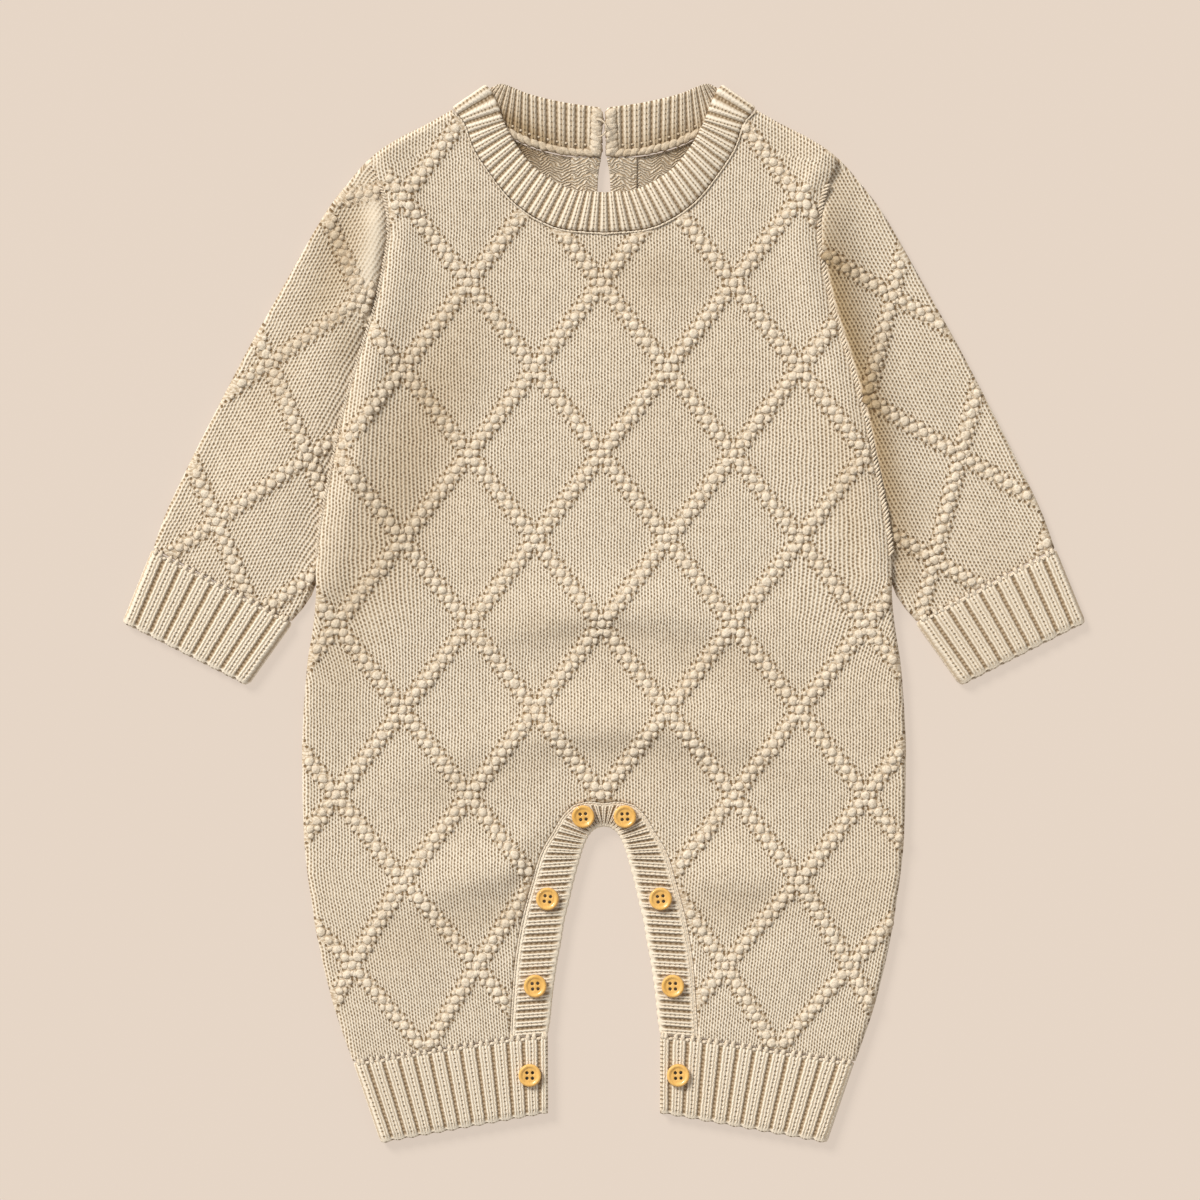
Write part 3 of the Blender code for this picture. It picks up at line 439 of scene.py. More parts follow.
def wall(name, outer, inner, place, thick, materials, maps, relief=None, inner_relief=None, side=1, shades=None):
    """A closed wall of cloth with a rounded rim. outer and inner hold cut points, faces and the rim's numbers.
    relief gives how far a face stands proud of the plain wall, maps what each UV map says at cut points, and
    shades the two faces' shade there."""
    cut, faces, rim = outer
    inner_cut, inner_faces, inner_rim = inner
    middle, out = place(cut)
    inner_middle, inner_out = place(inner_cut)
    high = thick / 2 + (relief(cut) if relief else np.zeros(len(cut)))
    low = thick / 2 + (inner_relief(inner_cut) if inner_relief else np.zeros(len(inner_cut)))
    a, b, c = middle[np.asarray(faces[len(faces) // 2][:3])]
    if np.dot(np.cross(b - a, c - a), out[faces[len(faces) // 2][0]]) < 0:
        faces, inner_faces = [face[::-1] for face in faces], [face[::-1] for face in inner_faces]
        rim, inner_rim = rim[::-1], inner_rim[::-1]
    ring_middle, ring_out = middle[rim], out[rim]
    run = np.roll(ring_middle, -1, axis=0) - np.roll(ring_middle, 1, axis=0)
    away = np.cross(run, ring_out)
    away /= np.linalg.norm(away, axis=1)[:, None]
    points = [middle + out * high[:, None], inner_middle - inner_out * low[:, None]]
    pairs = [cut, inner_cut]
    count, inner_count, ring_count = len(cut), len(inner_cut), len(rim)
    rows = [np.asarray(rim)]
    for number, turn in enumerate((45, 90, 135)):
        sine, cosine = math.sin(math.radians(turn)), math.cos(math.radians(turn))
        height = (high[rim] if cosine > 0 else low[inner_rim]) * cosine
        points.append(ring_middle + ring_out * height[:, None] + away * (EDGE_ROUND * sine))
        pairs.append(cut[rim])
        rows.append(np.arange(ring_count) + count + inner_count + number * ring_count)
    rows.append(np.asarray(inner_rim) + count)
    strips = []
    for above, below in zip(rows[:-1], rows[1:]):
        strips += np.stack([above, below, np.roll(below, -1), np.roll(above, -1)], axis=1).tolist()
    all_faces = [*map(list, faces), *([n + count for n in face[::-1]] for face in inner_faces), *strips]
    values = None
    if shades:
        outer_shade, inner_shade = shades
        rings = np.concatenate(pairs[2:])
        values = {"shade": np.concatenate([outer_shade(cut), inner_shade(inner_cut), outer_shade(rings)])}
    pairs = np.concatenate(pairs)
    return add_mesh(
        name, np.concatenate(points), all_faces, materials, {title: says(pairs) for title, says in maps.items()},
        values, side=side, inner_faces=(len(faces), len(faces) + len(inner_faces)),
    )


def unshaded(points):
    return np.zeros(len(points))


def rolled(points, edge, rolls, down):
    """Turns the last stretch inside a rolled edge: how far each point moves in plan, how far it drops, and the
    outer face's way out. down is 1 where the edge turns down and -1 where it turns up."""
    distance, row, share = nearest(points, edge)
    away = between(sideways(edge), row, share)
    away /= np.linalg.norm(away, axis=1)[:, None]
    run = np.clip(ROLL_WIDTH - distance, 0, None)
    turn = between(rolls, row, share) * run / ROLL_WIDTH
    safe = np.maximum(turn, 1e-6)
    radius = run / safe
    plan = away * (radius * np.sin(safe) - run)[:, None]
    drop = radius * (1 - np.cos(safe)) * down
    out = np.stack([away[:, 0] * np.sin(turn), away[:, 1] * np.sin(turn), np.cos(turn) * down], axis=1)
    return plan, drop, out


def right_half(points):
    """Plan points folded over to the right half."""
    return np.abs(points[:, :1]) * (1, 0) + points[:, 1:] * (0, 1)


def lattice_of(points):
    """Where plan points lie in the body's lattice, in half diamonds: bands run where the sum or the difference of
    the two is odd."""
    narrow = 1 - LEG_TAPER * np.clip(LEG_TAPER_FROM - points[:, 1], 0, None)
    across = (points[:, 0] - LATTICE_X) / narrow / HALF_DIAMOND[0]
    return np.stack([across, (points[:, 1] - LATTICE_Y) / HALF_DIAMOND[1]], axis=1)


def plan_of_body(lattice):
    """Plan points of the body's lattice places."""
    y = LATTICE_Y + lattice[:, 1] * HALF_DIAMOND[1]
    narrow = 1 - LEG_TAPER * np.clip(LEG_TAPER_FROM - y, 0, None)
    return np.stack([LATTICE_X + lattice[:, 0] * HALF_DIAMOND[0] * narrow, y], axis=1)


def band_relief(lattice):
    """Height of the knit at lattice places: raised under the bobble bands, and puffed inside each diamond."""
    total, difference = lattice[:, 0] + lattice[:, 1], lattice[:, 0] - lattice[:, 1]
    off = np.minimum(np.abs(total % 2 - 1), np.abs(difference % 2 - 1)) * BAND_PITCH
    raised = BAND_HEIGHT * fade(np.clip(off - BAND_TOP, 0, None), BAND_FOOT - BAND_TOP)
    return raised + DIAMOND_PUFF * (1 - fade(np.clip(off - BAND_FOOT, 0, None), 14.0)) - 0.12


def fold_height(points, folds):
    """Height of the soft folds."""
    height = np.zeros(len(points))
    for x, y, length, above, below, turn, bow, rise in folds:
        turn = math.radians(turn)
        off = points - (x, y)
        along = off[:, 0] * math.cos(turn) + off[:, 1] * math.sin(turn)
        across = off[:, 1] * math.cos(turn) - off[:, 0] * math.sin(turn) + bow * (along / length) ** 2
        width = np.where(across > 0, above, below)
        height += rise * np.exp(-((along / length) ** 2) - (across / width) ** 2)
    return height


def front_half(step):
    """The front's outline, clockwise from the middle of the neck to the middle of the crotch."""
    neck = shifted(smooth(NECK_SEAM, min(step, 5)), -SEAM_GAP)
    neck[0, 0] = 0
    return joined(
        neck, smooth(SHOULDER, step), smooth(ARMHOLE, step), smooth(SIDE, step), smooth(HEM_SEAM, step),
        smooth(CROTCH_SEAM, step), smooth(CROTCH_TOP, step),
    )


armhole_line = smooth(ARMHOLE, 6)
side_line = joined(smooth(SHOULDER, 10), armhole_line, smooth(SIDE, 11))
side_rolls = np.where(nearest(side_line, armhole_line)[0] < 0.01, ARMHOLE_ROLL, SIDE_ROLL)
side_rolls = side_rolls * np.interp(side_line[:, 1], *SHOULDER_ROLL)
front_coarse = mirrored(front_half(10))
front_outline = np.concatenate([front_coarse, front_coarse[:1]])


def lay_front(points):
    """The front's wall at cut points."""
    right = right_half(points)
    sign = np.where(points[:, 0] < 0, -1.0, 1.0)
    plan, drop, out = rolled(right, side_line, side_rolls, 1)
    from_rim = nearest(points, front_outline)[0]
    inland = 1 - fade(from_rim, CROWN_REACH)
    held = 1 - fade(from_rim, FOLD_REACH)
    from_armhole = nearest(right, armhole_line)[0]
    level = FRONT_LEVEL + OVER_SLEEVE * fade(from_armhole, SLEEVE_REACH)
    level += inland * CROWN + held * fold_height(points, FOLDS) - drop
    ridge = ARMHOLE_RIDGE * np.exp(-(((from_armhole - ARMHOLE_RIDGE_IN) / ARMHOLE_RIDGE_WIDTH) ** 2))
    level += ridge * np.clip(from_armhole / 6, 0, 1)
    flat = right + plan
    out[:, 0] *= sign
    return np.stack([flat[:, 0] * sign, flat[:, 1], level], axis=1), out


def front_relief(points):
    held = np.clip(nearest(right_half(points), side_line)[0] / ROLL_WIDTH, 0, 1)
    return band_relief(lattice_of(points)) * held


def front_shade(points):
    return np.clip(fold_height(points, FRONT_SHADES), 0, 1)


def body_stitches(points):
    """Wale and course numbers on the body. The wales lean in along the armholes, where the knit was narrowed."""
    right = right_half(points)
    distance, row, share = nearest(right, armhole_line)
    foot = between(armhole_line, row, share)[:, 0]
    lean = fade(distance, WALE_LEAN_REACH) * (foot - WALE_LEAN_FROM) * WALE_LEAN * np.sign(points[:, 0])
    return lattice_of(points - np.column_stack([lean, 0 * lean])) * STITCHES


def body_lattice(points):
    return lattice_of(points) * (WALES, COURSES)


def new_group(name, given, wanted):
    """The graph of a shader group, the values it is given, by name and kind, and the node for those it puts out."""
    tree = bpy.data.node_groups.new(name, "ShaderNodeTree")
    for title, kind in given.items():
        tree.interface.new_socket(title, in_out="INPUT", socket_type="NodeSocket" + kind)
    for title in wanted:
        tree.interface.new_socket(title, in_out="OUTPUT", socket_type="NodeSocketFloat")
    inputs = tree.nodes.new("NodeGroupInput").outputs[: len(given)]
    return Graph(tree), inputs, tree.nodes.new("NodeGroupOutput")


def finished(graph, result, *values):
    for socket, value in zip(result.inputs, values):
        graph.feed(socket, value)
    return graph.tree


def make_stitch_group():
    """Smooth knit: columns of slanted strands with a small dark hole between them at every half stitch."""
    graph, (stitches,), result = new_group("smooth knit", {"Stitches": "Vector"}, ("Height", "Light"))
    apart = graph.xyz(stitches)
    uneven = graph.noise(stitches, 0.23, detail=3.0, roughness=0.6)
    other = graph.noise(graph.shifted(stitches, 31.7), 0.31, detail=3.0, roughness=0.6)
    wale = graph.times_plus(uneven, 0.55, apart[0])
    course = graph.times_plus(other, 0.9, apart[1])
    turn, climb = graph.times(wale, math.tau), graph.times(course, math.tau)
    which = graph.math("SINE", turn)
    saw = graph.minus(graph.math("FRACT", course), 0.5)
    slanted = graph.times_plus(graph.times(which, saw), -0.18, wale)
    strand = graph.times_plus(graph.cosine(graph.times(slanted, 2 * math.tau)), -0.5, 0.5)
    across, up = graph.cosine(turn), graph.cosine(climb)
    first = graph.times(graph.step(across, 0.45, 0.99), graph.step(up, 0.65, -0.65))
    second = graph.times(graph.step(across, -0.45, -0.99), graph.step(up, -0.65, 0.65))
    open_here = graph.noise(stitches, 0.6, detail=1.0)
    hole = graph.times(graph.plus(first, second), graph.step(open_here, 0.3, 0.6, 0.55, 1.0))
    height = graph.times_plus(strand, 0.55, 0.45)
    height = graph.minus(height, graph.times(hole, 0.55))
    light = graph.times_plus(strand, 0.42, 0.64)
    light = graph.times(light, graph.times_plus(hole, -0.85, 1.0))
    leg = graph.add("CombineXYZ")
    graph.feed(leg.inputs[0], graph.math("FLOOR", graph.times(slanted, 2.0)))
    graph.feed(leg.inputs[1], graph.math("FLOOR", course))
    chance = graph.add("TexWhiteNoise", noise_dimensions="2D")
    graph.feed(chance.inputs["Vector"], leg.outputs[0])
    light = graph.times(light, graph.times_plus(chance.outputs["Value"], 0.16, 0.92))
    return finished(graph, result, height, light)


def make_lattice_group():
    """The ground of the bobble bands: a mask of the bands, toothed by the wales that end at them, and a mask of
    the pin holes that open beside every bobble."""
    graph, (stitches,), result = new_group("bobble lattice", {"Stitches": "Vector"}, ("Band", "Holes"))
    apart = graph.xyz(stitches)
    across = graph.math("DIVIDE", apart[0], float(WALES))
    along = graph.math("DIVIDE", apart[1], float(COURSES))
    total, difference = graph.plus(across, along), graph.minus(across, along)
    tooth = graph.cosine(graph.times(apart[0], 2 * math.tau))
    band, holes = 0.0, 0.0
    for count, turn in ((total, difference), (difference, total)):
        off = graph.math("ABSOLUTE", graph.minus(graph.math("FLOORED_MODULO", turn, 2.0), 1.0))
        off = graph.times(off, BAND_PITCH)
        toothed = graph.times_plus(tooth, 0.35, off)
        band = graph.math("MAXIMUM", band, graph.step(toothed, 4.6, 4.0))
        beads = graph.times(count, WALES / 2)
        for row, phase in ((3.2, 0.0), (4.4, 0.5)):
            step = graph.minus(graph.math("FRACT", graph.plus(beads, phase + 0.5)), 0.5)
            step = graph.times(step, 2 * BOBBLE_STEP / HOLE_WIDTH)
            aside = graph.times(graph.minus(off, row), 2 / HOLE_WIDTH)
            far = graph.plus(graph.times(step, step), graph.times(aside, aside))
            holes = graph.math("MAXIMUM", holes, graph.step(far, 1.35, 0.6))
    return finished(graph, result, band, holes)


YARN = (0.90, 0.79, 0.635)
YARN_WARM = (0.88, 0.755, 0.59)
# The next two colours are painted shade: what the yarn shows where less light reaches, between the strands.
YARN_HALF_SHADE = (0.55, 0.425, 0.285)
YARN_DEEP_SHADE = (0.20, 0.115, 0.045)
SHADE_TINT = (0.56, 0.48, 0.36)
BOBBLE_STEP = math.hypot(HALF_DIAMOND[0], HALF_DIAMOND[1]) / WALES
HOLE_WIDTH = 1.35

smooth_knit = make_stitch_group()
bobble_lattice = make_lattice_group()


def yarn_colour(graph, light, warm_scale=9.0):
    """The colour of the cotton where a number from 0, deep between the strands, to 1, on top of them, says how much
    light reaches it, so the strands' light and shade are painted into the colour. It is dimmer and warmer by the
    painted shade that the mesh gives in its shade attribute."""
    place = graph.place()
    patch = graph.step(graph.noise(place, warm_scale, detail=3.0), 0.35, 0.65)
    top = graph.blend(patch, (*YARN, 1), (*YARN_WARM, 1))
    fleck = graph.noise(place, 1900.0, detail=2.0)
    top = graph.blend(graph.step(fleck, 0.35, 0.7, 0.0, 0.16), top, (0.95, 0.87, 0.75, 1))
    low = graph.blend(graph.times(light, 2.0, clamp=True), (*YARN_DEEP_SHADE, 1), (*YARN_HALF_SHADE, 1))
    colour = graph.blend(graph.times_plus(light, 2.0, -1.0, clamp=True), low, top)
    dimmed = graph.add("Mix", data_type="RGBA", blend_type="MULTIPLY", clamp_factor=False)
    graph.feed(dimmed.inputs[0], graph.attribute("shade"))
    graph.feed(dimmed.inputs[6], colour)
    graph.feed(dimmed.inputs[7], (*SHADE_TINT, 1))
    return dimmed.outputs[2]


def bumped(graph, shader, height, distance):
    node = graph.add("Bump")
    node.inputs["Strength"].default_value = 1.0
    node.inputs["Distance"].default_value = distance * MM
    graph.feed(node.inputs["Height"], height)
    graph.feed(shader.inputs["Normal"], node.outputs[0])


def fuzz(graph, height, amount=0.10):
    """The height with the fine fibres of the yarn added."""
    return graph.times_plus(graph.noise(graph.place(), 2600.0, detail=2.0), amount, height)


def body_knit_material():
    material, graph, shader = new_material("oat smooth knit", 0.88, sheen=0.12, specular=0.25)
    lattice = graph.uv("lattice")
    knit, bands = graph.group(smooth_knit, graph.uv("stitches")), graph.group(bobble_lattice, lattice)
    banded = graph.minus(1.0, graph.attribute("bare"))
    band, holes = (graph.times(mask, banded) for mask in bands.outputs)
    lumps = graph.noise(lattice, 1.9, detail=2.0)
    height = graph.times(knit.outputs[0], graph.minus(1.0, band))
    height = graph.times_plus(graph.times(band, lumps), 0.9, height)
    height = graph.times_plus(holes, -0.9, height)
    # The band's ground takes less light than the smooth knit, and the pin holes less still: painted shade between the
    # bobbles.
    light = graph.times(knit.outputs[1], graph.minus(1.0, band))
    light = graph.plus(light, graph.times(band, graph.step(lumps, 0.35, 0.65, 0.42, 0.92)))
    light = graph.times(light, graph.times_plus(holes, -0.9, 1.0))
    plain = graph.attribute("plain")
    light = graph.times_plus(graph.minus(0.93, light), plain, light)
    height = graph.times_plus(graph.minus(0.8, height), plain, height)
    graph.feed(shader.inputs["Base Color"], yarn_colour(graph, light))
    bumped(graph, shader, fuzz(graph, height), 0.42)
    return material


body_knit = body_knit_material()
BODY_MAPS = {"stitches": body_stitches, "lattice": body_lattice}

front_rim = drawn_in(mirrored(front_half(BODY_STEP)), EDGE_ROUND)
front = wall(
    "front_knit", filled(front_rim, front_coarse, BODY_STEP), filled(front_rim, front_coarse, PLAIN_STEP), lay_front,
    BODY_KNIT, [body_knit], BODY_MAPS, relief=front_relief, shades=(front_shade, unshaded),
)
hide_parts("front")

# The tips of the shoulders, where the bands give way to plain knit
BARE_TIPS = ((108.0, 220.0, 9.0), (-114.5, 222.0, 7.5))
BARE_EDGE = 1.5


def bare_at(plan):
    past = [np.hypot(plan[:, 0] - x, plan[:, 1] - y) - reach for x, y, reach in BARE_TIPS]
    return 1 - np.clip(np.min(past, axis=0) / BARE_EDGE, 0, 1)


def mark_bare(made):
    """Gives a piece's points the amount by which the bands give way there."""
    places = np.empty(3 * len(made.data.vertices), np.float32)
    made.data.vertices.foreach_get("co", places)
    bare = bare_at(places.reshape(-1, 3)[:, :2] / MM).astype(np.float32)
    made.data.attributes.new("bare", "FLOAT", "POINT").data.foreach_set("value", bare)


mark_bare(front)


# Bobbles on the front. Each is a tight knot of several stitches worked into one. They stand in rows along the
# lattice: a large one at every second course, and smaller stitches drawn up on both sides between them.

BODY_PLACES = (-4.6, -6.4), (4.8, 5.2)  # the lowest and the highest lattice places of the body
BOBBLE_SIZE = (2.55, 2.4, 1.2)  # half widths along and across the band, and height
LOWER_SIZE = (1.75, 1.55, 0.95)  # half widths up and across the panel, and height
UPPER_SIZE = (1.4, 1.1, 0.7)
SMALL_OFF = 2.7  # how far the smaller ones stand off the band's middle
CROSSING_ROOM = 2.6  # how far they keep from the crossings of two bands
BOBBLE_SUNK = 0.22  # share of their height that sinks in the knit
BOBBLE_SCATTER = 0.22


def dome_form(around, turns):
    """Points and faces of one rounded bump of unit size, with rings at turns down from its top."""
    rings = [(0.0, 0.0, 1.0)]
    for number, turn in enumerate(turns):
        for k in range(around):
            a = (k + 0.5 * (number % 2)) * math.tau / around
            rings.append((math.sin(turn) * math.cos(a), math.sin(turn) * math.sin(a), math.cos(turn)))
    rings.append((0.0, 0.0, math.cos(turns[-1]) - 0.1))
    faces = [(0, 1 + k, 1 + (k + 1) % around) for k in range(around)]
    for ring in range(len(turns) - 1):
        start, below = 1 + ring * around, 1 + (ring + 1) * around
        for k in range(around):
            j = (k + 1) % around
            if ring % 2 == 0:
                faces += [(start + k, below + k, start + j), (start + j, below + k, below + j)]
            else:
                faces += [(start + k, below + k, below + j), (start + k, below + j, start + j)]
    last, base = len(rings) - 1, 1 + (len(turns) - 1) * around
    faces += [(last, base + (k + 1) % around, base + k) for k in range(around)]
    return np.array(rings), np.array(faces)


LARGE_FORM = dome_form(10, np.radians((26, 52, 80, 108)))
SMALL_FORM = dome_form(7, np.radians((35, 70, 105)))


def domes(form, centres, outs, runs, sizes, random):
    """Many rounded bumps as one set of points, faces and heights from 0 to 1. runs point along each bump."""
    shape, faces = form
    outs = outs / np.linalg.norm(outs, axis=1)[:, None]
    runs = runs - outs * (runs * outs).sum(1)[:, None]
    runs /= np.linalg.norm(runs, axis=1)[:, None]
    asides = np.cross(outs, runs)
    size = np.broadcast_to(sizes, (len(centres), 3))
    uneven = random.normal(1, 0.095, (len(centres), len(shape)))
    points = centres[:, None] + uneven[..., None] * (
        runs[:, None] * (shape[:, 0] * size[:, :1])[..., None]
        + asides[:, None] * (shape[:, 1] * size[:, 1:2])[..., None]
        + outs[:, None] * (shape[:, 2] * size[:, 2:])[..., None]
    )
    numbered = faces[None] + (np.arange(len(centres)) * len(shape))[:, None, None]
    rise = np.tile(np.clip(shape[:, 2], 0, 1), len(centres))
    return points.reshape(-1, 3), numbered.reshape(-1, 3), rise


def gathered(*parts):
    """Sets of points, faces and heights as one."""
    points, faces, rises, count = [], [], [], 0
    for some_points, some_faces, rise in parts:
        points.append(some_points)
        faces.append(some_faces + count)
        rises.append(rise)
        count += len(some_points)
    return np.concatenate(points), np.concatenate(faces), np.concatenate(rises)


def bobble_places(lows, highs, large, off, half_step):
    """Lattice places of one chain of bobbles along every band, and the lattice directions of the bands. off is in
    millimetres, towards the lower side of the band."""
    places, runs = [], []
    for lean in (1, -1):
        ends = sorted(x - lean * y for x in (lows[0], highs[0]) for y in (lows[1], highs[1]))
        for turn in range(math.floor(ends[0]), math.ceil(ends[-1]) + 1):
            if turn % 2 == 0:
                continue
            count = np.arange(math.floor(sum(lows) - 2) * 5, math.ceil(sum(highs) + 2) * 5 * 2)
            reach = 0.2 * (count + (0.5 if half_step else 0.0))
            if large and lean == -1:
                reach = reach[np.abs(reach % 2 - 1) > 0.05]
            if lean == 1:
                x, y = (reach + turn) / 2, (reach - turn) / 2
            else:
                x, y = (turn + reach) / 2, (turn - reach) / 2
            x = x + lean * off / HALF_DIAMOND[0] * 0.79
            y = y - off / HALF_DIAMOND[1] * 0.61
            kept = (x > lows[0]) & (x < highs[0]) & (y > lows[1]) & (y < highs[1])
            places.append(np.column_stack([x, y])[kept])
            runs.append(np.broadcast_to((1.0, lean * 1.0), (kept.sum(), 2)))
    return np.concatenate(places), np.concatenate(runs)


def clear_of_crossings(lattice, room):
    """Which lattice places lie further than room, in millimetres, from every crossing of two bands."""
    total, difference = lattice[:, 0] + lattice[:, 1], lattice[:, 0] - lattice[:, 1]
    off = np.maximum(np.abs(total % 2 - 1), np.abs(difference % 2 - 1)) * BAND_PITCH
    return off > room


def make_bobbles(name, lows, highs, cut_of, lay, thick, relief, allowed, shade, seed, side=1, high=None):
    """The bobbles of one panel as one piece. cut_of gives the cut's points at lattice places, and allowed which of
    them lie on the panel. high is the height that they are all pressed flat to."""
    random = np.random.default_rng(seed)
    parts, shades = [], []
    for form, size, off, half_step in (
        (LARGE_FORM, BOBBLE_SIZE, 0.0, False),
        (SMALL_FORM, LOWER_SIZE, SMALL_OFF, True),
        (SMALL_FORM, UPPER_SIZE, -SMALL_OFF, True),
    ):
        lattice, runs = bobble_places(lows, highs, off == 0, off, half_step)
        if off:
            clear = clear_of_crossings(lattice, CROSSING_ROOM)
            lattice, runs = lattice[clear], runs[clear] * (0, 1) * np.sign(runs[clear][:, 1:])
        cuts = cut_of(lattice)
        kept = allowed(cuts)
        lattice, runs, cuts = lattice[kept], runs[kept], cuts[kept]
        cuts = cuts + random.normal(0, BOBBLE_SCATTER, cuts.shape)
        middle, out = lay(cuts)
        ahead, _ = lay(cut_of(lattice + runs * 0.02))
        sizes = np.array(size) * random.normal(1, 0.13 if off else 0.07, (len(cuts), 3))
        if high:
            sizes[:, 2] = high / (1 - BOBBLE_SUNK)
        sunk = middle + out * (thick / 2 + relief(cuts) - BOBBLE_SUNK * sizes[:, 2])[:, None]
        parts.append(domes(form, sunk, out, ahead - middle, sizes, random))
        shades.append(np.repeat(shade(cuts), len(form[0])))
    points, faces, rise = gathered(*parts)
    points[:, 2] = np.maximum(points[:, 2], 0)
    values = {"rise": rise, "shade": np.concatenate(shades)}
    return add_mesh(name, points, faces, [bobble_yarn], values=values, side=side)


def bobble_material():
    """The same yarn, pale on top and darker down its sides: painted shade, deepest where bobbles meet."""
    material, graph, shader = new_material("oat bobbles", 0.85, sheen=0.12, specular=0.25)
    light = graph.step(graph.attribute("rise"), 0.05, 0.68, 0.26, 0.90)
    strands = graph.noise(graph.place(), 760.0, detail=2.0)
    light = graph.times(light, graph.step(strands, 0.36, 0.58, 0.80, 1.0))
    graph.feed(shader.inputs["Base Color"], yarn_colour(graph, light, warm_scale=60.0))
    bumped(graph, shader, fuzz(graph, strands, 0.25), 0.5)
    return material


bobble_yarn = bobble_material()


def on_front(cuts):
    return inside(cuts, front_coarse) & (nearest(cuts, front_outline)[0] > 2.2) & (bare_at(cuts) < 0.5)


front_bobbles = make_bobbles(
    "front_bobbles", *BODY_PLACES, plan_of_body, lay_front, BODY_KNIT, front_relief, on_front, front_shade, 11,
)


# Sleeves. Each is a tube of the same smooth knit with the same lattice, pressed flat and pointing down and out. Its
# head is set in behind the front's armhole edge, so that the cloth rises there in a soft ridge and falls away from it.

SLEEVE_KNIT = 1.8
SLEEVE_WIDTH = 80.0
SLEEVE_LENGTH = 190.0
SLEEVE_FOLD_RADIUS = 1.1
SLEEVE_CROWN = 0.9
SLEEVE_LEAN = math.radians(26.5)
SLEEVE_WALE = 3.35
SLEEVE_COURSE = 2.15
SLEEVE_LATTICE = {  # one crossing of two bands, and half a diamond across and down
    "left": ((147.6, 77.0), (32.7, 7.5), (13.3, -39.5)),
    "right": ((131.0, 106.0), (30.0, 12.0), (17.0, -40.0)),
}
SLEEVE_UNDER_FRONT = 3.5
SLEEVE_STEP = 1.5
SLEEVE_HEAD = {"left": (3.4, 6.0), "right": (4.4, 1.6)}  # height, and how far outside the armhole it is highest
SLEEVE_HEAD_FOOT = {"left": (118.0, 160.0), "right": (10.0, 130.0)}  # levels where it begins and is whole
SLEEVE_HEAD_TOP = (196, 214), (1, 0.45)  # levels, and what is left of its height towards the shoulder
SLEEVE_HEAD_FALL = 24.0
SLEEVE_SWELL = 2.2
SLEEVE_TURN = {"left": 0.85, "right": 0.3}  # how far the stitches of the head turn towards the armhole
SLEEVE_TURN_REACH = 13.0
# The shade beside the armhole's ridge: levels, and how deep it is at each
ARMHOLE_SHADE = {
    "left": ((0, 250), (0, 0)),
    "right": ((-5, 20, 60, 100, 150, 172, 192, 210, 226), (0.2, 0.55, 0.95, 1.05, 1.08, 1.05, 0.6, 0.3, 0)),
}
ARMHOLE_SHADE_AT = 2.6  # how far outside the armhole it is deepest
ARMHOLE_SHADE_IN = 0.9  # how soon it ends towards the armhole
ARMHOLE_SHADE_OUT = (60, 110, 165), (11, 10, 15)  # levels, and how slowly it ends away from the armhole
SLEEVE_SHADE_MOST = 1.1
# Where the head is stretched smooth: how far outside the armhole, how wide, and how smooth
SLEEVE_PLAIN = {"left": (7.5, 6.0, 0.72), "right": (1.0, 1.6, 0.6)}
PLAIN_FROM = {"left": (138, 168), "right": (30, 70)}  # levels where it begins and is whole
SHOULDER_DROP = {"left": 9.5, "right": 0.0}  # how far the lattice bends down where it meets the shoulder
DROP_FROM = (136, 180)  # the place across and the level where that bend begins
DROP_REACH = (17, 22)
SLEEVE_OUTER = (
    (110.6, 231.2), (115.0, 228.6), (119.6, 224.6), (126.8, 216.0), (135.0, 206.0), (147.5, 186.0),
    (158.7, 166.0), (175.7, 136.0), (191.5, 106.0), (206.7, 76.0), (220.6, 46.0), (225.5, 31.8),
)
SLEEVE_INNER = (
    (127.5, 94.0), (132.0, 74.0), (136.0, 54.0), (139.0, 37.0), (142.0, 20.0), (147.0, 6.5), (156.0, -4.5),
)
BACK_UNDERARM = ((141.5, 20.0), (143.2, 11.0), (144.1, 4.0))


def along(line, share):
    """The place at each share of a line's length, carried straight on past its ends."""
    steps = np.linalg.norm(np.diff(line, axis=0), axis=1)
    reach = np.concatenate([[0.0], np.cumsum(steps)])
    held = np.clip(share, 0, 1)
    at = held * reach[-1]
    place = np.stack([np.interp(at, reach, line[:, 0]), np.interp(at, reach, line[:, 1])], axis=1)
    first = (line[1] - line[0]) / steps[0]
    last = (line[-1] - line[-2]) / steps[-1]
    past = ((share - held) * reach[-1])[:, None]
    return place + past * np.where(share[:, None] > 0.5, last, first)


def patch(seam, hem, inner, outer):
    """A flat area between four lines, as a function of a share across, from inner to outer, and one along, from
    seam to hem."""
    corners = seam[0], seam[-1], hem[0], hem[-1]

    def place(across, down):
        s, v = across[:, None], down[:, None]
        rails = (1 - v) * along(seam, across) + v * along(hem, across)
        rails += (1 - s) * along(inner, down) + s * along(outer, down)
        near, far = (1 - s) * corners[0] + s * corners[1], (1 - s) * corners[2] + s * corners[3]
        return rails - ((1 - v) * near + v * far)

    return place


def shares_of(place, points):
    """The shares of a patch that lie at plan points, by Newton's method."""
    shares = np.full((len(points), 2), 0.5)
    small = 1e-4
    for _ in range(25):
        here = place(*shares.T)
        slope_s = (place(shares[:, 0] + small, shares[:, 1]) - here) / small
        slope_v = (place(shares[:, 0], shares[:, 1] + small) - here) / small
        off = points - here
        area = slope_s[:, 0] * slope_v[:, 1] - slope_s[:, 1] * slope_v[:, 0]
        step_s = (off[:, 0] * slope_v[:, 1] - off[:, 1] * slope_v[:, 0]) / area
        step_v = (slope_s[:, 0] * off[:, 1] - slope_s[:, 1] * off[:, 0]) / area
        shares += np.clip(np.stack([step_s, step_v], axis=1), -0.2, 0.2)
    return shares


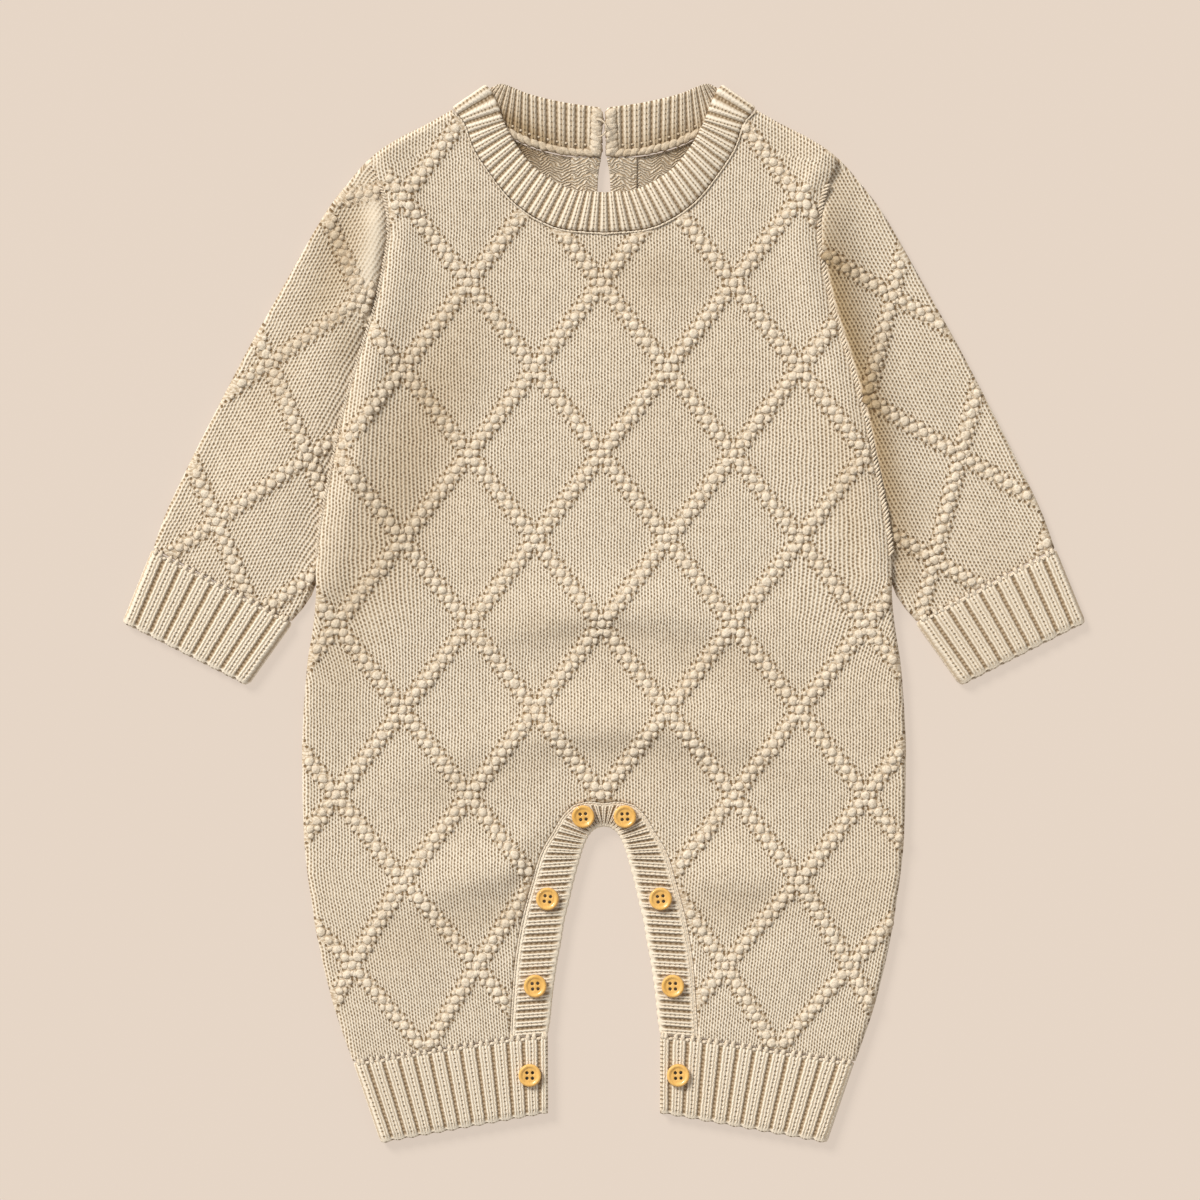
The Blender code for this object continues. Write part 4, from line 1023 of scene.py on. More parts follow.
class FlatTube:
    """A tube pressed flat: its cut runs across the top wall, round the outer fold and back under. A closed tube
    also turns up at its inner fold, to a seam half way up it."""

    def __init__(self, area, width, length, thick, radius, closed):
        self.area, self.width, self.length = area, width, length
        self.thick, self.radius = thick, radius
        self.quarter = math.pi / 2 * radius if closed else 0.0
        self.fold = math.pi * radius
        self.total = 2 * (self.quarter + width) + self.fold
        self.start = SEAM_GAP / 2 if closed else EDGE_ROUND

    def insets(self, down):
        """The shares across that the inner and the outer fold take."""
        one = np.ones_like(down)
        span = np.linalg.norm(self.area(one, down) - self.area(0 * one, down), axis=1)
        outer = (self.radius + self.thick / 2) / span
        return outer * (self.quarter > 0), outer

    def place(self, points):
        u = points[:, 0] - self.quarter
        down = points[:, 1] / self.length
        inner, outer = self.insets(down)
        under = u - self.width - self.fold
        share = np.clip(np.where(under > 0, 1 - under / self.width, u / self.width), 0, 1)
        across = inner + share * (1 - inner - outer)
        plan = self.area(across, down)
        outward = self.area(across + 1e-3, down) - plan
        outward /= np.linalg.norm(outward, axis=1)[:, None]
        turn = np.clip((u - self.width) / self.radius, 0, math.pi)
        turn = np.where(u < 0, -u / self.radius, turn)
        past = (under - self.width) / self.radius
        turn = np.where(past > 0, math.pi - past, turn)
        outward = np.where(((u < 0) | (past > 0))[:, None], -outward, outward)
        sine, cosine = np.sin(turn), np.cos(turn)
        flat = plan + outward * (self.radius * sine)[:, None]
        level = self.radius + self.thick / 2 + self.radius * cosine
        return np.column_stack([flat, level]), np.column_stack([outward * sine[:, None], cosine])

    def cut_of(self, plan):
        """The cut's points on the top wall at plan points."""
        shares = shares_of(self.area, plan)
        inner, outer = self.insets(shares[:, 1])
        share = (shares[:, 0] - inner) / (1 - inner - outer)
        return np.stack([self.quarter + share * self.width, shares[:, 1] * self.length], axis=1)

    def top_share(self, points):
        return (points[:, 0] - self.quarter) / self.width

    def turned_under(self, points):
        """0 on the top wall, 1 on the under wall, and between them on the folds."""
        u = points[:, 0] - self.quarter
        outer = np.clip((u - self.width) / self.fold, 0, 1)
        return np.maximum(outer, np.clip(-u / self.fold, 0, 0.5))

    def grid(self, step, down_step):
        across = np.linspace(self.start, self.total - self.start, round(self.total / step) + 1)
        down = np.linspace(EDGE_ROUND, self.length - EDGE_ROUND, round(self.length / down_step) + 1)
        return gridded(across, down)


def gridded(across, along_it):
    """Cut points on a grid, its four-sided faces, and its rim's point numbers."""
    cut = np.stack(np.meshgrid(across, along_it, indexing="ij"), axis=-1).reshape(-1, 2)
    number = np.arange(len(cut)).reshape(len(across), len(along_it))
    corners = number[:-1, :-1], number[1:, :-1], number[1:, 1:], number[:-1, 1:]
    faces = np.stack(corners, axis=-1).reshape(-1, 4)
    rim = np.concatenate([number[:, 0], number[-1, 1:], number[-2::-1, -1], number[0, -2:0:-1]])
    return cut, faces, rim


def sleeve_seam_line():
    """Where the sleeve meets the body, from the shoulder to the underarm and down the sleeve's inner edge."""
    armhole = shifted(smooth(ARMHOLE, 10), -SLEEVE_UNDER_FRONT)
    seam = armhole[(armhole[:, 1] < 222) & (armhole[:, 1] > SLEEVE_INNER[0][1] + 4)]
    inner = smooth(SLEEVE_INNER, 10)
    inner = inner[inner[:, 1] > BACK_UNDERARM[0][1] + 4]
    return joined([SLEEVE_OUTER[0]], seam, inner)


def sleeve_area():
    line = sleeve_seam_line()
    seam = line[line[:, 1] >= SLEEVE_INNER[0][1] - 0.01][::-1]
    hem = np.array([SLEEVE_INNER[-1], SLEEVE_OUTER[-1]])
    return patch(seam, hem, smooth(SLEEVE_INNER, 8), smooth(SLEEVE_OUTER, 8))


def mark_plain(made, grid, plain):
    """Gives the points of a wall with a grid cut the amount by which its knit is smooth."""
    cut, _, rim = grid
    points = np.concatenate([cut, cut, cut[rim], cut[rim], cut[rim]])
    given = made.data.attributes.new("plain", "FLOAT", "POINT").data
    given.foreach_set("value", plain(points).astype(np.float32))


def make_sleeve(which, side, folds, shades, seed):
    tube = FlatTube(sleeve_area(), SLEEVE_WIDTH, SLEEVE_LENGTH, SLEEVE_KNIT, SLEEVE_FOLD_RADIUS, True)
    cos, sin = math.cos(SLEEVE_LEAN), math.sin(SLEEVE_LEAN)
    crossing, half_diamond = np.array(SLEEVE_LATTICE[which][0]), np.array(SLEEVE_LATTICE[which][1:])
    ridge, ridge_at = SLEEVE_HEAD[which]
    foot, whole = SLEEVE_HEAD_FOOT[which]

    def plan_of(cut):
        return tube.place(cut)[0][:, :2]

    def on_top(cut):
        return tube.turned_under(cut) == 0

    def bend(plan):
        near = np.clip((DROP_FROM[0] - plan[:, 0]) / DROP_REACH[0], 0, 1.2)
        near *= np.clip((plan[:, 1] - DROP_FROM[1]) / DROP_REACH[1], 0, 1)
        return np.column_stack([0 * near, SHOULDER_DROP[which] * near])

    def lattice(cut):
        plan = plan_of(cut)
        return (plan + bend(plan) - crossing) @ np.linalg.inv(half_diamond) + (1, 0)

    def outside_armhole(plan):
        return nearest(plan, armhole_line)[0] * np.where(inside(plan, front_coarse), -1, 1)

    def cut_of(places):
        straight = crossing + (places - (1, 0)) @ half_diamond
        plan = straight
        for _ in range(6):
            plan = straight - bend(plan)
        return tube.cut_of(plan)

    def lay(cut):
        middle, out = tube.place(cut)
        share = np.clip(tube.top_share(cut), 0, 1)
        top = np.sin(math.pi * share) ** 2 * on_top(cut)
        middle[:, 2] += (SLEEVE_CROWN + SLEEVE_SWELL) * top * np.sin(math.pi * cut[:, 1] / SLEEVE_LENGTH)
        away = outside_armhole(middle[:, :2])
        rise = fade(np.abs(away - ridge_at), np.where(away < ridge_at, ridge_at + 2.0, SLEEVE_HEAD_FALL))
        rise *= 1 - fade(np.clip(middle[:, 1] - foot, 0, None), whole - foot)
        rise *= np.interp(middle[:, 1], *SLEEVE_HEAD_TOP)
        held = np.clip(away / 2.2, 0, 1) * np.clip((1 - share) / 0.2, 0, 1) * on_top(cut)
        middle[:, 2] += (ridge * rise + fold_height(middle[:, :2], folds) * (away > 0)) * held
        return middle, out

    def relief(cut):
        share = tube.top_share(cut)
        edge = np.minimum(np.clip(share / 0.08, 0, 1), np.clip((1 - share) / 0.03, 0, 1))
        return band_relief(lattice(cut)) * edge

    def on_sleeve(cut):
        share, down = tube.top_share(cut), cut[:, 1]
        plan = plan_of(cut)
        clear = ~inside(plan, front_coarse) & (nearest(plan, front_outline)[0] > 1.0)
        return (share > 0.015) & (share < 0.985) & (down > 0) & (down < SLEEVE_LENGTH - 2.5) & clear

    def shade(cut):
        plan = plan_of(cut)
        off = outside_armhole(plan) - ARMHOLE_SHADE_AT
        width = np.where(off < 0, ARMHOLE_SHADE_IN, np.interp(plan[:, 1], *ARMHOLE_SHADE_OUT))
        strip = np.exp(-((off / width) ** 2)) * np.interp(plan[:, 1], *ARMHOLE_SHADE[which])
        return np.clip(strip + fold_height(plan, shades), 0, SLEEVE_SHADE_MOST) * on_top(cut)

    def plain(cut):
        plan = plan_of(cut)
        at, wide, most = SLEEVE_PLAIN[which]
        near = np.exp(-(((outside_armhole(plan) - at) / wide) ** 2)) * on_top(cut)
        return most * near * np.interp(plan[:, 1], (*PLAIN_FROM[which], 205, 222), (0, 1, 1, 0))

    def stitches(cut):
        plan = plan_of(cut)
        near = np.clip(SLEEVE_TURN_REACH - outside_armhole(plan), 0, SLEEVE_TURN_REACH)
        turned = SLEEVE_TURN[which] * near**2 / (2 * SLEEVE_TURN_REACH) * on_top(cut)
        x, y = plan[:, 0], plan[:, 1] + turned
        return np.stack([(x * cos + y * sin) / SLEEVE_WALE, (x * sin - y * cos) / SLEEVE_COURSE], axis=1)

    def plain_lattice(cut):
        return lattice(cut) * (WALES, COURSES)

    cut = tube.grid(SLEEVE_STEP, SLEEVE_STEP)
    made = wall(
        f"sleeve_{which}_knit", cut, cut, lay, SLEEVE_KNIT, [body_knit, inside_knit],
        {"stitches": stitches, "lattice": plain_lattice}, relief=relief, side=side, shades=(shade, unshaded),
    )
    mark_plain(made, cut, plain)
    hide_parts(f"sleeve_{which}")
    bobbles = make_bobbles(
        f"sleeve_{which}_bobbles", (-3, -6), (4, 5), cut_of, lay, SLEEVE_KNIT, relief, on_sleeve, shade, seed,
        side=side,
    )

    def top_at(plan):
        middle, _ = lay(tube.cut_of(plan))
        return middle[:, 2] + SLEEVE_KNIT / 2

    return top_at


def make_inside_group():
    """The back of smooth knit: rows of short grains that slant one way and then the other."""
    graph, (stitches,), result = new_group("knit from behind", {"Stitches": "Vector"}, ("Height",))
    apart = graph.xyz(stitches)
    uneven = graph.noise(stitches, 0.3, detail=3.0)
    other = graph.noise(graph.shifted(stitches, 17.3), 0.4, detail=3.0)
    wale = graph.times_plus(uneven, 2.0, apart[0])
    course = graph.times_plus(other, 2.4, apart[1])
    slant = graph.math("PINGPONG", graph.times(wale, 0.5), 1.0)
    rows = graph.times(graph.times_plus(slant, 2.2, course), math.tau)
    breaks = graph.times(graph.times_plus(course, 0.5, wale), 1.5 * math.tau)
    grain = graph.times_plus(graph.cosine(rows), 0.5, 0.5)
    broken = graph.step(graph.cosine(breaks), -0.95, -0.2, 0.5, 1.0)
    return finished(graph, result, graph.times(grain, broken))


def inside_knit_material():
    material, graph, shader = new_material("oat knit inside", 0.9, sheen=0.1, specular=0.2)
    coarse = graph.add("Mapping")
    coarse.inputs["Scale"].default_value = (1.1, 1.3, 1.0)
    graph.feed(coarse.inputs["Vector"], graph.uv("stitches"))
    knit = graph.group(knit_from_behind, coarse.outputs[0])
    light = graph.step(knit.outputs[0], 0.0, 0.8, 0.36, 1.0)
    light = graph.times(light, graph.times_plus(graph.attribute("shade"), -0.42, 1.0))
    graph.feed(shader.inputs["Base Color"], yarn_colour(graph, light))
    bumped(graph, shader, fuzz(graph, knit.outputs[0]), 0.7)
    return material


knit_from_behind = make_inside_group()
inside_knit = inside_knit_material()
LEFT_SLEEVE_FOLDS = (
    (150, 120, 40, 9, 9, -62, 0, 0.6), (178, 62, 38, 10, 10, -60, 3, 0.7), (190, 92, 30, 8, 8, -64, 0, -0.4),
    (131, 192, 20, 7, 7, -72, 0, -1.6),
)
RIGHT_SLEEVE_FOLDS = (
    (156, 112, 44, 9, 9, -60, 0, 0.7), (186, 60, 34, 9, 9, -64, -3, 0.6), (168, 30, 24, 8, 8, -40, 0, 0.5),
)
LEFT_SLEEVE_SHADES = (
    (131, 182, 30, 13, 13, -72, 0, 0.58), (142, 152, 22, 10, 10, -50, 0, 0.25), (129, 133, 17, 8, 8, -72, 0, 0.38),
    (166, 112, 26, 12, 12, -62, 0, 0.22),
)
RIGHT_SLEEVE_SHADES = ((150, 128, 40, 14, 20, -65, 0, 0.08),)
sleeve_tops = {
    "left": make_sleeve("left", -1, LEFT_SLEEVE_FOLDS, LEFT_SLEEVE_SHADES, 21),
    "right": make_sleeve("right", 1, RIGHT_SLEEVE_FOLDS, RIGHT_SLEEVE_SHADES, 22),
}


def read(rows, reach, at):
    """The rows of a line, each at its reach along it, read at other places."""
    return np.column_stack([np.interp(at, reach, column) for column in rows.T])


def row_of(line, spacing, size, form, start=0.0, lean=0.0, seed=5):
    """Bumps in a row along a line of three-dimensional points, each turned from the line by lean."""
    random = np.random.default_rng(seed)
    reach = np.concatenate([[0.0], np.cumsum(np.linalg.norm(np.diff(line, axis=0), axis=1))])
    at = np.arange(start, reach[-1], spacing)
    at = at + random.normal(0, 0.04 * spacing, len(at))
    centre, ahead, behind = (read(line, reach, at + step) for step in (0, 0.3, -0.3))
    run = ahead - behind
    run /= np.linalg.norm(run, axis=1)[:, None]
    aside = np.column_stack([-run[:, 1], run[:, 0], 0 * run[:, 0]])
    out = np.broadcast_to((0.0, 0.0, 1.0), centre.shape)
    run = run * math.cos(lean) + aside * math.sin(lean)
    sizes = np.array(size) * random.normal(1, 0.06, (len(at), 3))
    return domes(form, centre, out, run, sizes, random)


# The armhole seams: slanting stitches that bind the front's edge to the sleeve, wider on the wearer's left.
ARMHOLE_STITCH = {"left": (1.5, 0.55, 0.6), "right": (2.5, 0.7, 0.95)}
ARMHOLE_STITCH_OFF = {"left": 0.4, "right": 0.2}
ARMHOLE_STITCH_TOP = 214.0
ARMHOLE_STITCH_STEP = {"left": 1.6, "right": 2.0}
ARMHOLE_STITCH_LEAN = -0.8
for which, side in (("left", -1), ("right", 1)):
    edge = smooth(ARMHOLE[2:], 2)
    edge = edge[(edge[:, 1] > 26) & (edge[:, 1] < ARMHOLE_STITCH_TOP)]
    off = ARMHOLE_STITCH_OFF[which]
    plan = shifted(edge, off)
    front_top = lay_front(shifted(edge, -0.8) * (side, 1))[0][:, 2] + BODY_KNIT / 2 - 0.5
    level = np.maximum(front_top, sleeve_tops[which](shifted(plan, 0.8))) + 0.1
    line, step, size = np.column_stack([plan, level]), ARMHOLE_STITCH_STEP[which], ARMHOLE_STITCH[which]
    points, faces, rise = row_of(line, step, size, SMALL_FORM, lean=ARMHOLE_STITCH_LEAN, seed=41)
    values = {"rise": 0.25 + 0.75 * rise}
    add_mesh(f"armhole_seam_{which}", points, faces, [bobble_yarn], values=values, side=side)


# Back panel. It is the back of the body and of both legs, cut like the front, its shoulders and sides turned up into
# the seams. It lies face down on the floor, with the same lattice pressed flat, and its inside shows at the neck.

BACK_SLIT = (
    (0, 178.0), (1.6, 181.0), (2.6, 186.0), (3.2, 192.0), (3.6, 200.0), (3.6, 209.0), (2.6, 222.0), (1.6, 226.7),
)
BACK_NECK_SEAM = ((74.1, 249.2), (66.0, 247.0), (52.0, 240.0), (38.0, 233.0), (19.0, 228.0), (2.2, 227.0))
BACK_STEP = 2.0
PRESSED_BAND = 0.45
PRESSED_BOBBLE = 0.75


def back_half(step):
    """The back's outline, clockwise from the foot of the neck slit to the middle of the crotch."""
    neck = shifted(smooth(BACK_NECK_SEAM[::-1], min(step, 5)), -SEAM_GAP)
    shoulder = smooth(SHOULDER, step)
    seam = sleeve_seam_line()
    shoulder = shoulder[shoulder[:, 0] < seam[0, 0] - 1]
    side = smooth(SIDE, step)
    side = side[side[:, 1] < BACK_UNDERARM[-1][1] - 4]
    return joined(
        smooth(BACK_SLIT, step), neck, shoulder, smooth(shifted(seam, -SEAM_GAP), step), smooth(BACK_UNDERARM, step),
        side, smooth(HEM_SEAM, step), smooth(CROTCH_SEAM, step), smooth(CROTCH_TOP, step),
    )


back_shoulder = smooth(SHOULDER, 10)
back_side = smooth(SIDE, 11)
back_side = back_side[back_side[:, 1] < 12]
back_side_rolls = np.full(len(back_side), SIDE_ROLL)
back_side_rolls[:2] = 0


def lay_back(points):
    """The back's wall at cut points."""
    right = right_half(points)
    sign = np.where(points[:, 0] < 0, -1.0, 1.0)
    closer = nearest(right, back_side)[0] < nearest(right, back_shoulder)[0]
    at_side = rolled(right, back_side, back_side_rolls, -1)
    at_shoulder = rolled(right, back_shoulder, np.full(len(back_shoulder), SIDE_ROLL), -1)
    plan, drop, out = [
        np.where(closer.reshape(-1, *[1] * (a.ndim - 1)), a, b) for a, b in zip(at_side, at_shoulder)
    ]
    flat = right + plan
    out[:, 0] *= sign
    return np.stack([flat[:, 0] * sign, flat[:, 1], BODY_KNIT / 2 - drop], axis=1), out


def back_relief(points):
    lattice = lattice_of(points)
    total, difference = lattice.sum(1), np.diff(lattice, axis=1)[:, 0]
    off = np.minimum(np.abs(total % 2 - 1), np.abs(difference % 2 - 1)) * BAND_PITCH
    raised = PRESSED_BAND * fade(np.clip(off - BAND_TOP, 0, None), BAND_FOOT - BAND_TOP)
    return raised - PRESSED_BAND - PRESSED_BOBBLE


# The shade on the inside of the back, in the depth of the neck
BACK_SHADES = ((-46, 241, 24, 16, 14, -28, 0, 1.1), (40, 238, 20, 14, 12, 28, 0, 0.7))


def back_shade(points):
    return np.clip(fold_height(points, BACK_SHADES), 0, 1)


back_coarse = mirrored(back_half(8))
back_rim = drawn_in(mirrored(back_half(BACK_STEP)), EDGE_ROUND)
back_safe = np.concatenate([back_coarse, back_coarse[:1]])


def on_back(cuts):
    return inside(cuts, back_coarse) & (nearest(cuts, back_safe)[0] > 3.5)


back = wall(
    "back_knit", filled(back_rim, back_coarse, BACK_STEP), filled(back_rim, back_coarse, BACK_STEP * 1.5), lay_back,
    BODY_KNIT, [body_knit, inside_knit], BODY_MAPS, relief=back_relief, shades=(unshaded, back_shade),
)
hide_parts("back")
back_bobbles = make_bobbles(
    "back_bobbles", *BODY_PLACES, plan_of_body, lay_back, BODY_KNIT, back_relief, on_back, unshaded, 12,
    high=PRESSED_BOBBLE,
)


# Cuffs. Each is a band of ribbing, two stitches up and one down, knitted on to the sleeve or the leg and cast off at
# the hem. Those of the sleeves are closed tubes pressed flat. Those of the legs are folded once and stay open inside.

CUFF_KNIT = 2.2
RIB_HEIGHT = 0.9
RIB_CREST = 0.68
RIB_FOOT = 0.92
RIB_DIP = 0.16
SLEEVE_CUFF = {"inner": ((156.0, -4.9), (178.5, -36.5)), "outer": ((225.7, 31.2), (240.5, -5.0))}
LEG_CUFF = {"inner": ((28.0, -211.3), (28.0, -250.0)), "outer": ((125.2, -224.8), (111.5, -265.0))}
LEG_CUFF_BEND = (47.0, -212.9)  # where its seam bends, at the foot of the crotch band
SLEEVE_CUFF_SIZE = (72.0, 38.0)  # width and length
LEG_CUFF_SIZE = (88.0, 40.0)
LEG_FOLD_RADIUS = 1.75
SLEEVE_CUFF_RADIUS = 1.2
CUFF_STITCH = 2.1
CUFF_HEM = 1.6
# Ribs across the width, and the share of the width from its edge to the middle of the first
SLEEVE_RIBS = (8.2, 0.013)
LEG_RIBS = {"left": (12.1, 0.006), "right": (11.3, 0.013)}
FIRST_STITCH = (2.1, 1.15, 0.95)  # half widths along and across, and height
FIRST_KNOT = (0.9, 1.2, 0.9)


def make_rib_group():
    """Ribbing: raised stripes of upright strands, with pin holes down their middle, and deep valleys between them
    crossed by small bars."""
    given = {"Ribs": "Vector", "Crest": "Float", "Strands": "Float"}
    graph, (ribs, crest, strands), result = new_group("ribbing", given, ("Height", "Light"))
    apart = graph.xyz(ribs)
    uneven = graph.times_plus(graph.noise(ribs, 1.1, detail=2.0), 0.10, -0.05)
    across = graph.minus(graph.math("FRACT", graph.plus(apart[0], uneven)), 0.5)
    course = graph.times_plus(graph.noise(ribs, 0.7, detail=1.0), 0.8, apart[1])
    off = graph.times(graph.math("ABSOLUTE", across), 2.0)
    on_crest = graph.step(graph.minus(off, crest), 0.10, -0.07)
    share = graph.math("DIVIDE", across, crest)
    turn = graph.times(graph.plus(share, 0.5), strands)
    saw = graph.minus(graph.math("FRACT", course), 0.5)
    lean = graph.times(graph.math("SINE", graph.times(turn, math.pi)), saw)
    turn = graph.times_plus(lean, 0.28, turn)
    strand = graph.times_plus(graph.cosine(graph.times(turn, math.tau)), -0.5, 0.5)
    climb = graph.times(course, math.tau)
    middle = graph.times(graph.step(graph.math("ABSOLUTE", share), 0.13, 0.02), graph.cosine(climb))
    hole = graph.step(middle, 0.2, 0.9)
    bars = graph.times_plus(graph.cosine(graph.times_plus(climb, 1.0, math.pi)), 0.5, 0.5)
    bars = graph.times(bars, graph.step(off, 1.06, 0.80, 1.0, 0.4))
    height = graph.times_plus(strand, 0.45, 0.55)
    height = graph.times_plus(hole, -0.5, height)
    height = graph.times(height, on_crest)
    low = graph.times(graph.minus(1.0, on_crest), bars)
    height = graph.times_plus(low, 0.25, height)
    light = graph.times_plus(graph.math("POWER", strand, 0.7), 0.62, 0.46)
    light = graph.times(light, graph.times_plus(hole, -0.7, 1.0))
    light = graph.times(light, on_crest)
    valley = graph.times_plus(bars, 0.50, 0.05)
    light = graph.times_plus(graph.minus(1.0, on_crest), valley, light)
    return finished(graph, result, height, light)


def ribbed_knit_material(name, crest, strands, tone=1.0):
    material, graph, shader = new_material(name, 0.88, sheen=0.12, specular=0.25)
    knit = graph.group(ribbing, graph.uv("ribs"))
    knit.inputs[1].default_value = crest
    knit.inputs[2].default_value = strands
    plain = graph.attribute("plain")
    light = graph.times_plus(graph.minus(0.93, knit.outputs[1]), plain, knit.outputs[1])
    light = graph.times(light, tone)
    height = graph.times_plus(graph.minus(0.8, knit.outputs[0]), plain, knit.outputs[0])
    graph.feed(shader.inputs["Base Color"], yarn_colour(graph, light))
    bumped(graph, shader, fuzz(graph, height), 0.7)
    return material


ribbing = make_rib_group()
cuff_ribbing = ribbed_knit_material("oat cuff ribbing", 0.81, 4.0, tone=1.06)


def grid_wall(
    name, across, down, place, thick, materials, maps, relief=None, inner_relief=None, plain=None, side=1, shades=None,
):
    """A wall whose cut is a rectangle, with points at the given places across and down. plain says how far the
    knit at each point gives way to a plain edge."""
    cut = gridded(across, down)
    made = wall(name, cut, cut, place, thick, materials, maps, relief, inner_relief, side, shades)
    if plain:
        mark_plain(made, cut, plain)
    return made


def rib_profile(place):
    """Height of a two-stitch rib, at a place counted in ribs."""
    off = np.abs(place % 1 - 0.5) * 2
    height = fade(np.clip(off - RIB_CREST, 0, None), RIB_FOOT - RIB_CREST) * RIB_HEIGHT
    return height - RIB_DIP * np.exp(-((off / 0.16) ** 2))


def make_cuff(name, side, area, width, length, radius, ribs, edge, closed, rests_on):
    """edge is the share of the width from an edge to the middle of its first rib."""
    tube = FlatTube(area, width, length, CUFF_KNIT, radius, closed)
    ends = tube.start, tube.total - tube.start
    across = np.linspace(*ends, round((ends[1] - ends[0]) / (width / ribs) * 11) + 1)
    down = np.concatenate([[EDGE_ROUND], np.linspace(2.2, length - 2.2, 15), [length - 1.6, length - EDGE_ROUND]])

    def ribs_of(cut):
        share = (cut[:, 0] - tube.quarter) / width - edge
        return np.column_stack([share * ribs + 0.5, cut[:, 1] / CUFF_STITCH])

    def plain(cut):
        return np.clip((cut[:, 1] - length + CUFF_HEM + 0.4) / 0.6, 0, 1)

    def relief(cut):
        u = cut[:, 0] - tube.quarter
        turn = fade(np.abs(u - width - tube.fold / 2), tube.fold / 2 + 1.5) * 0.5
        under = np.clip((u - width) / tube.fold, 0, 1)
        height = rib_profile(ribs_of(cut)[:, 0]) * (1 - turn) * (1 - 0.65 * under) - 0.35 * RIB_HEIGHT * under
        start = fade(np.clip(cut[:, 1], 0, None), 2.4)
        hem = plain(cut)
        return height * (1 - hem) * (1 - 0.8 * start) + hem * (0.45 * height - 0.15)

    def lay(cut):
        scallop = 0.35 * np.cos(math.tau * ribs_of(cut)[:, 0]) * plain(cut)
        return tube.place(cut - np.column_stack([0 * scallop, scallop]))

    made = grid_wall(
        f"{name}_knit", across, down, lay, CUFF_KNIT, [cuff_ribbing], {"ribs": ribs_of}, relief,
        plain=plain, side=side,
    )
    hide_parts(name)
    crests = edge + np.arange(round(ribs * (1 - 2 * edge)) + 1) / ribs
    starts = np.clip(np.concatenate([crests - 0.2 / ribs, crests + 0.2 / ribs]), 0.014, 1.0)
    pairs = np.stack([starts * width + tube.quarter, 0 * starts], axis=1)
    random = np.random.default_rng(round(ribs))
    knots = crests[:-1] + 0.5 / ribs
    knots = np.stack([knots * width + tube.quarter, 0 * knots + 1.1], axis=1)
    parts = []
    for places, size, lift in ((pairs, FIRST_STITCH, 0.25), (knots, FIRST_KNOT, 0.1)):
        middle, out = tube.place(places)
        ahead, _ = tube.place(places + (0, 1))
        centre = middle + out * (CUFF_KNIT / 2 + lift)
        parts.append(domes(LARGE_FORM, centre, out, ahead - middle, size, random))
    points, faces, rise = gathered(*parts)
    joins = add_mesh(f"{name}_first_stitches", points, faces, [bobble_yarn], values={"rise": rise}, side=side)


def cuff_area(corners, middle=()):
    inner, outer = (np.array(corners[edge]) for edge in ("inner", "outer"))
    seam = np.array([inner[0], *middle, outer[0]])
    return patch(seam, np.array([inner[1], outer[1]]), inner, outer)


for which, side in (("left", -1), ("right", 1)):
    make_cuff(
        f"sleeve_cuff_{which}", side, cuff_area(SLEEVE_CUFF), *SLEEVE_CUFF_SIZE, SLEEVE_CUFF_RADIUS,
        *SLEEVE_RIBS, True, ["floor"],
    )
    make_cuff(
        f"leg_cuff_{which}", side, cuff_area(LEG_CUFF, [LEG_CUFF_BEND]), *LEG_CUFF_SIZE, LEG_FOLD_RADIUS,
        *LEG_RIBS[which], False, ["floor"],
    )


# Neckband. It is one long strip of ribbing round the neck. It lies on the front with its outside up, turns over at
# both shoulders and lies at the back with its inside up, its two ends side by side above the slit.

NECK_EDGE = (
    (0, 209.4), (16.5, 211.2), (33.5, 220.9), (42.4, 231.2), (48.0, 241.0), (52.4, 252.0), (55.1, 262.2),
)
BACK_NECK_EDGE = ((55.1, 262.2), (52.0, 263.6), (47.0, 262.6), (38.0, 259.0), (19.0, 254.5), (1.2, 252.0))
NECKBAND_KNIT = 3.0
NECK_RIB_HEIGHT = 0.7
NECK_RIB_PITCH = 5.4  # on the front, where the band is stretched
NECK_BACK_PITCH = 4.7
NECK_FOLD_RADIUS = 1.95
NECKBAND_WIDTH = 20.0
NECK_TURN = (0.565, 0.826)  # the way out, in plan, of the band's fold at the shoulder
NECK_STITCH = 2.0
NECK_STAND = 3.0  # how far the band's edge stands up at the back
# The stitches that trim it: half widths along and across their row, and height
CORD = (1.5, 0.55, 0.5)
ROPE = (3.3, 1.9, 1.4)
END_ROPE = (4.0, 2.6, 1.7)
BEAD = (0.75, 0.7, 0.5)
TRIM_SHADES = (0.0, 0.46, 0.2, 0.46)  # of the cord, the rope, the end rope and the beads


def line_reach(rows):
    return np.concatenate([[0.0], np.cumsum(np.hypot(*np.diff(rows[:, :2], axis=0).T))])


neck_front = smooth(np.hstack([NECK_SEAM, NECK_EDGE]), 5)
neck_back = smooth(np.hstack([BACK_NECK_SEAM, BACK_NECK_EDGE]), 5)
neck_front_reach, neck_back_reach = line_reach(neck_front), line_reach(neck_back)
neck_fold = math.pi * NECK_FOLD_RADIUS
neck_folded = neck_front_reach[-1] + neck_fold
neck_half = neck_folded + neck_back_reach[-1]
neck_ribs_front = round(neck_folded / NECK_RIB_PITCH)
neck_ribs_half = neck_ribs_front + round((neck_half - neck_folded) / NECK_BACK_PITCH)


def neck_rib(cut):
    """How many ribs lie between the middle of the front and each place."""
    knots = (0, neck_folded, neck_half), (0, neck_ribs_front, neck_ribs_half)
    return np.interp(np.abs(cut[:, 0]), *knots) * np.sign(cut[:, 0])


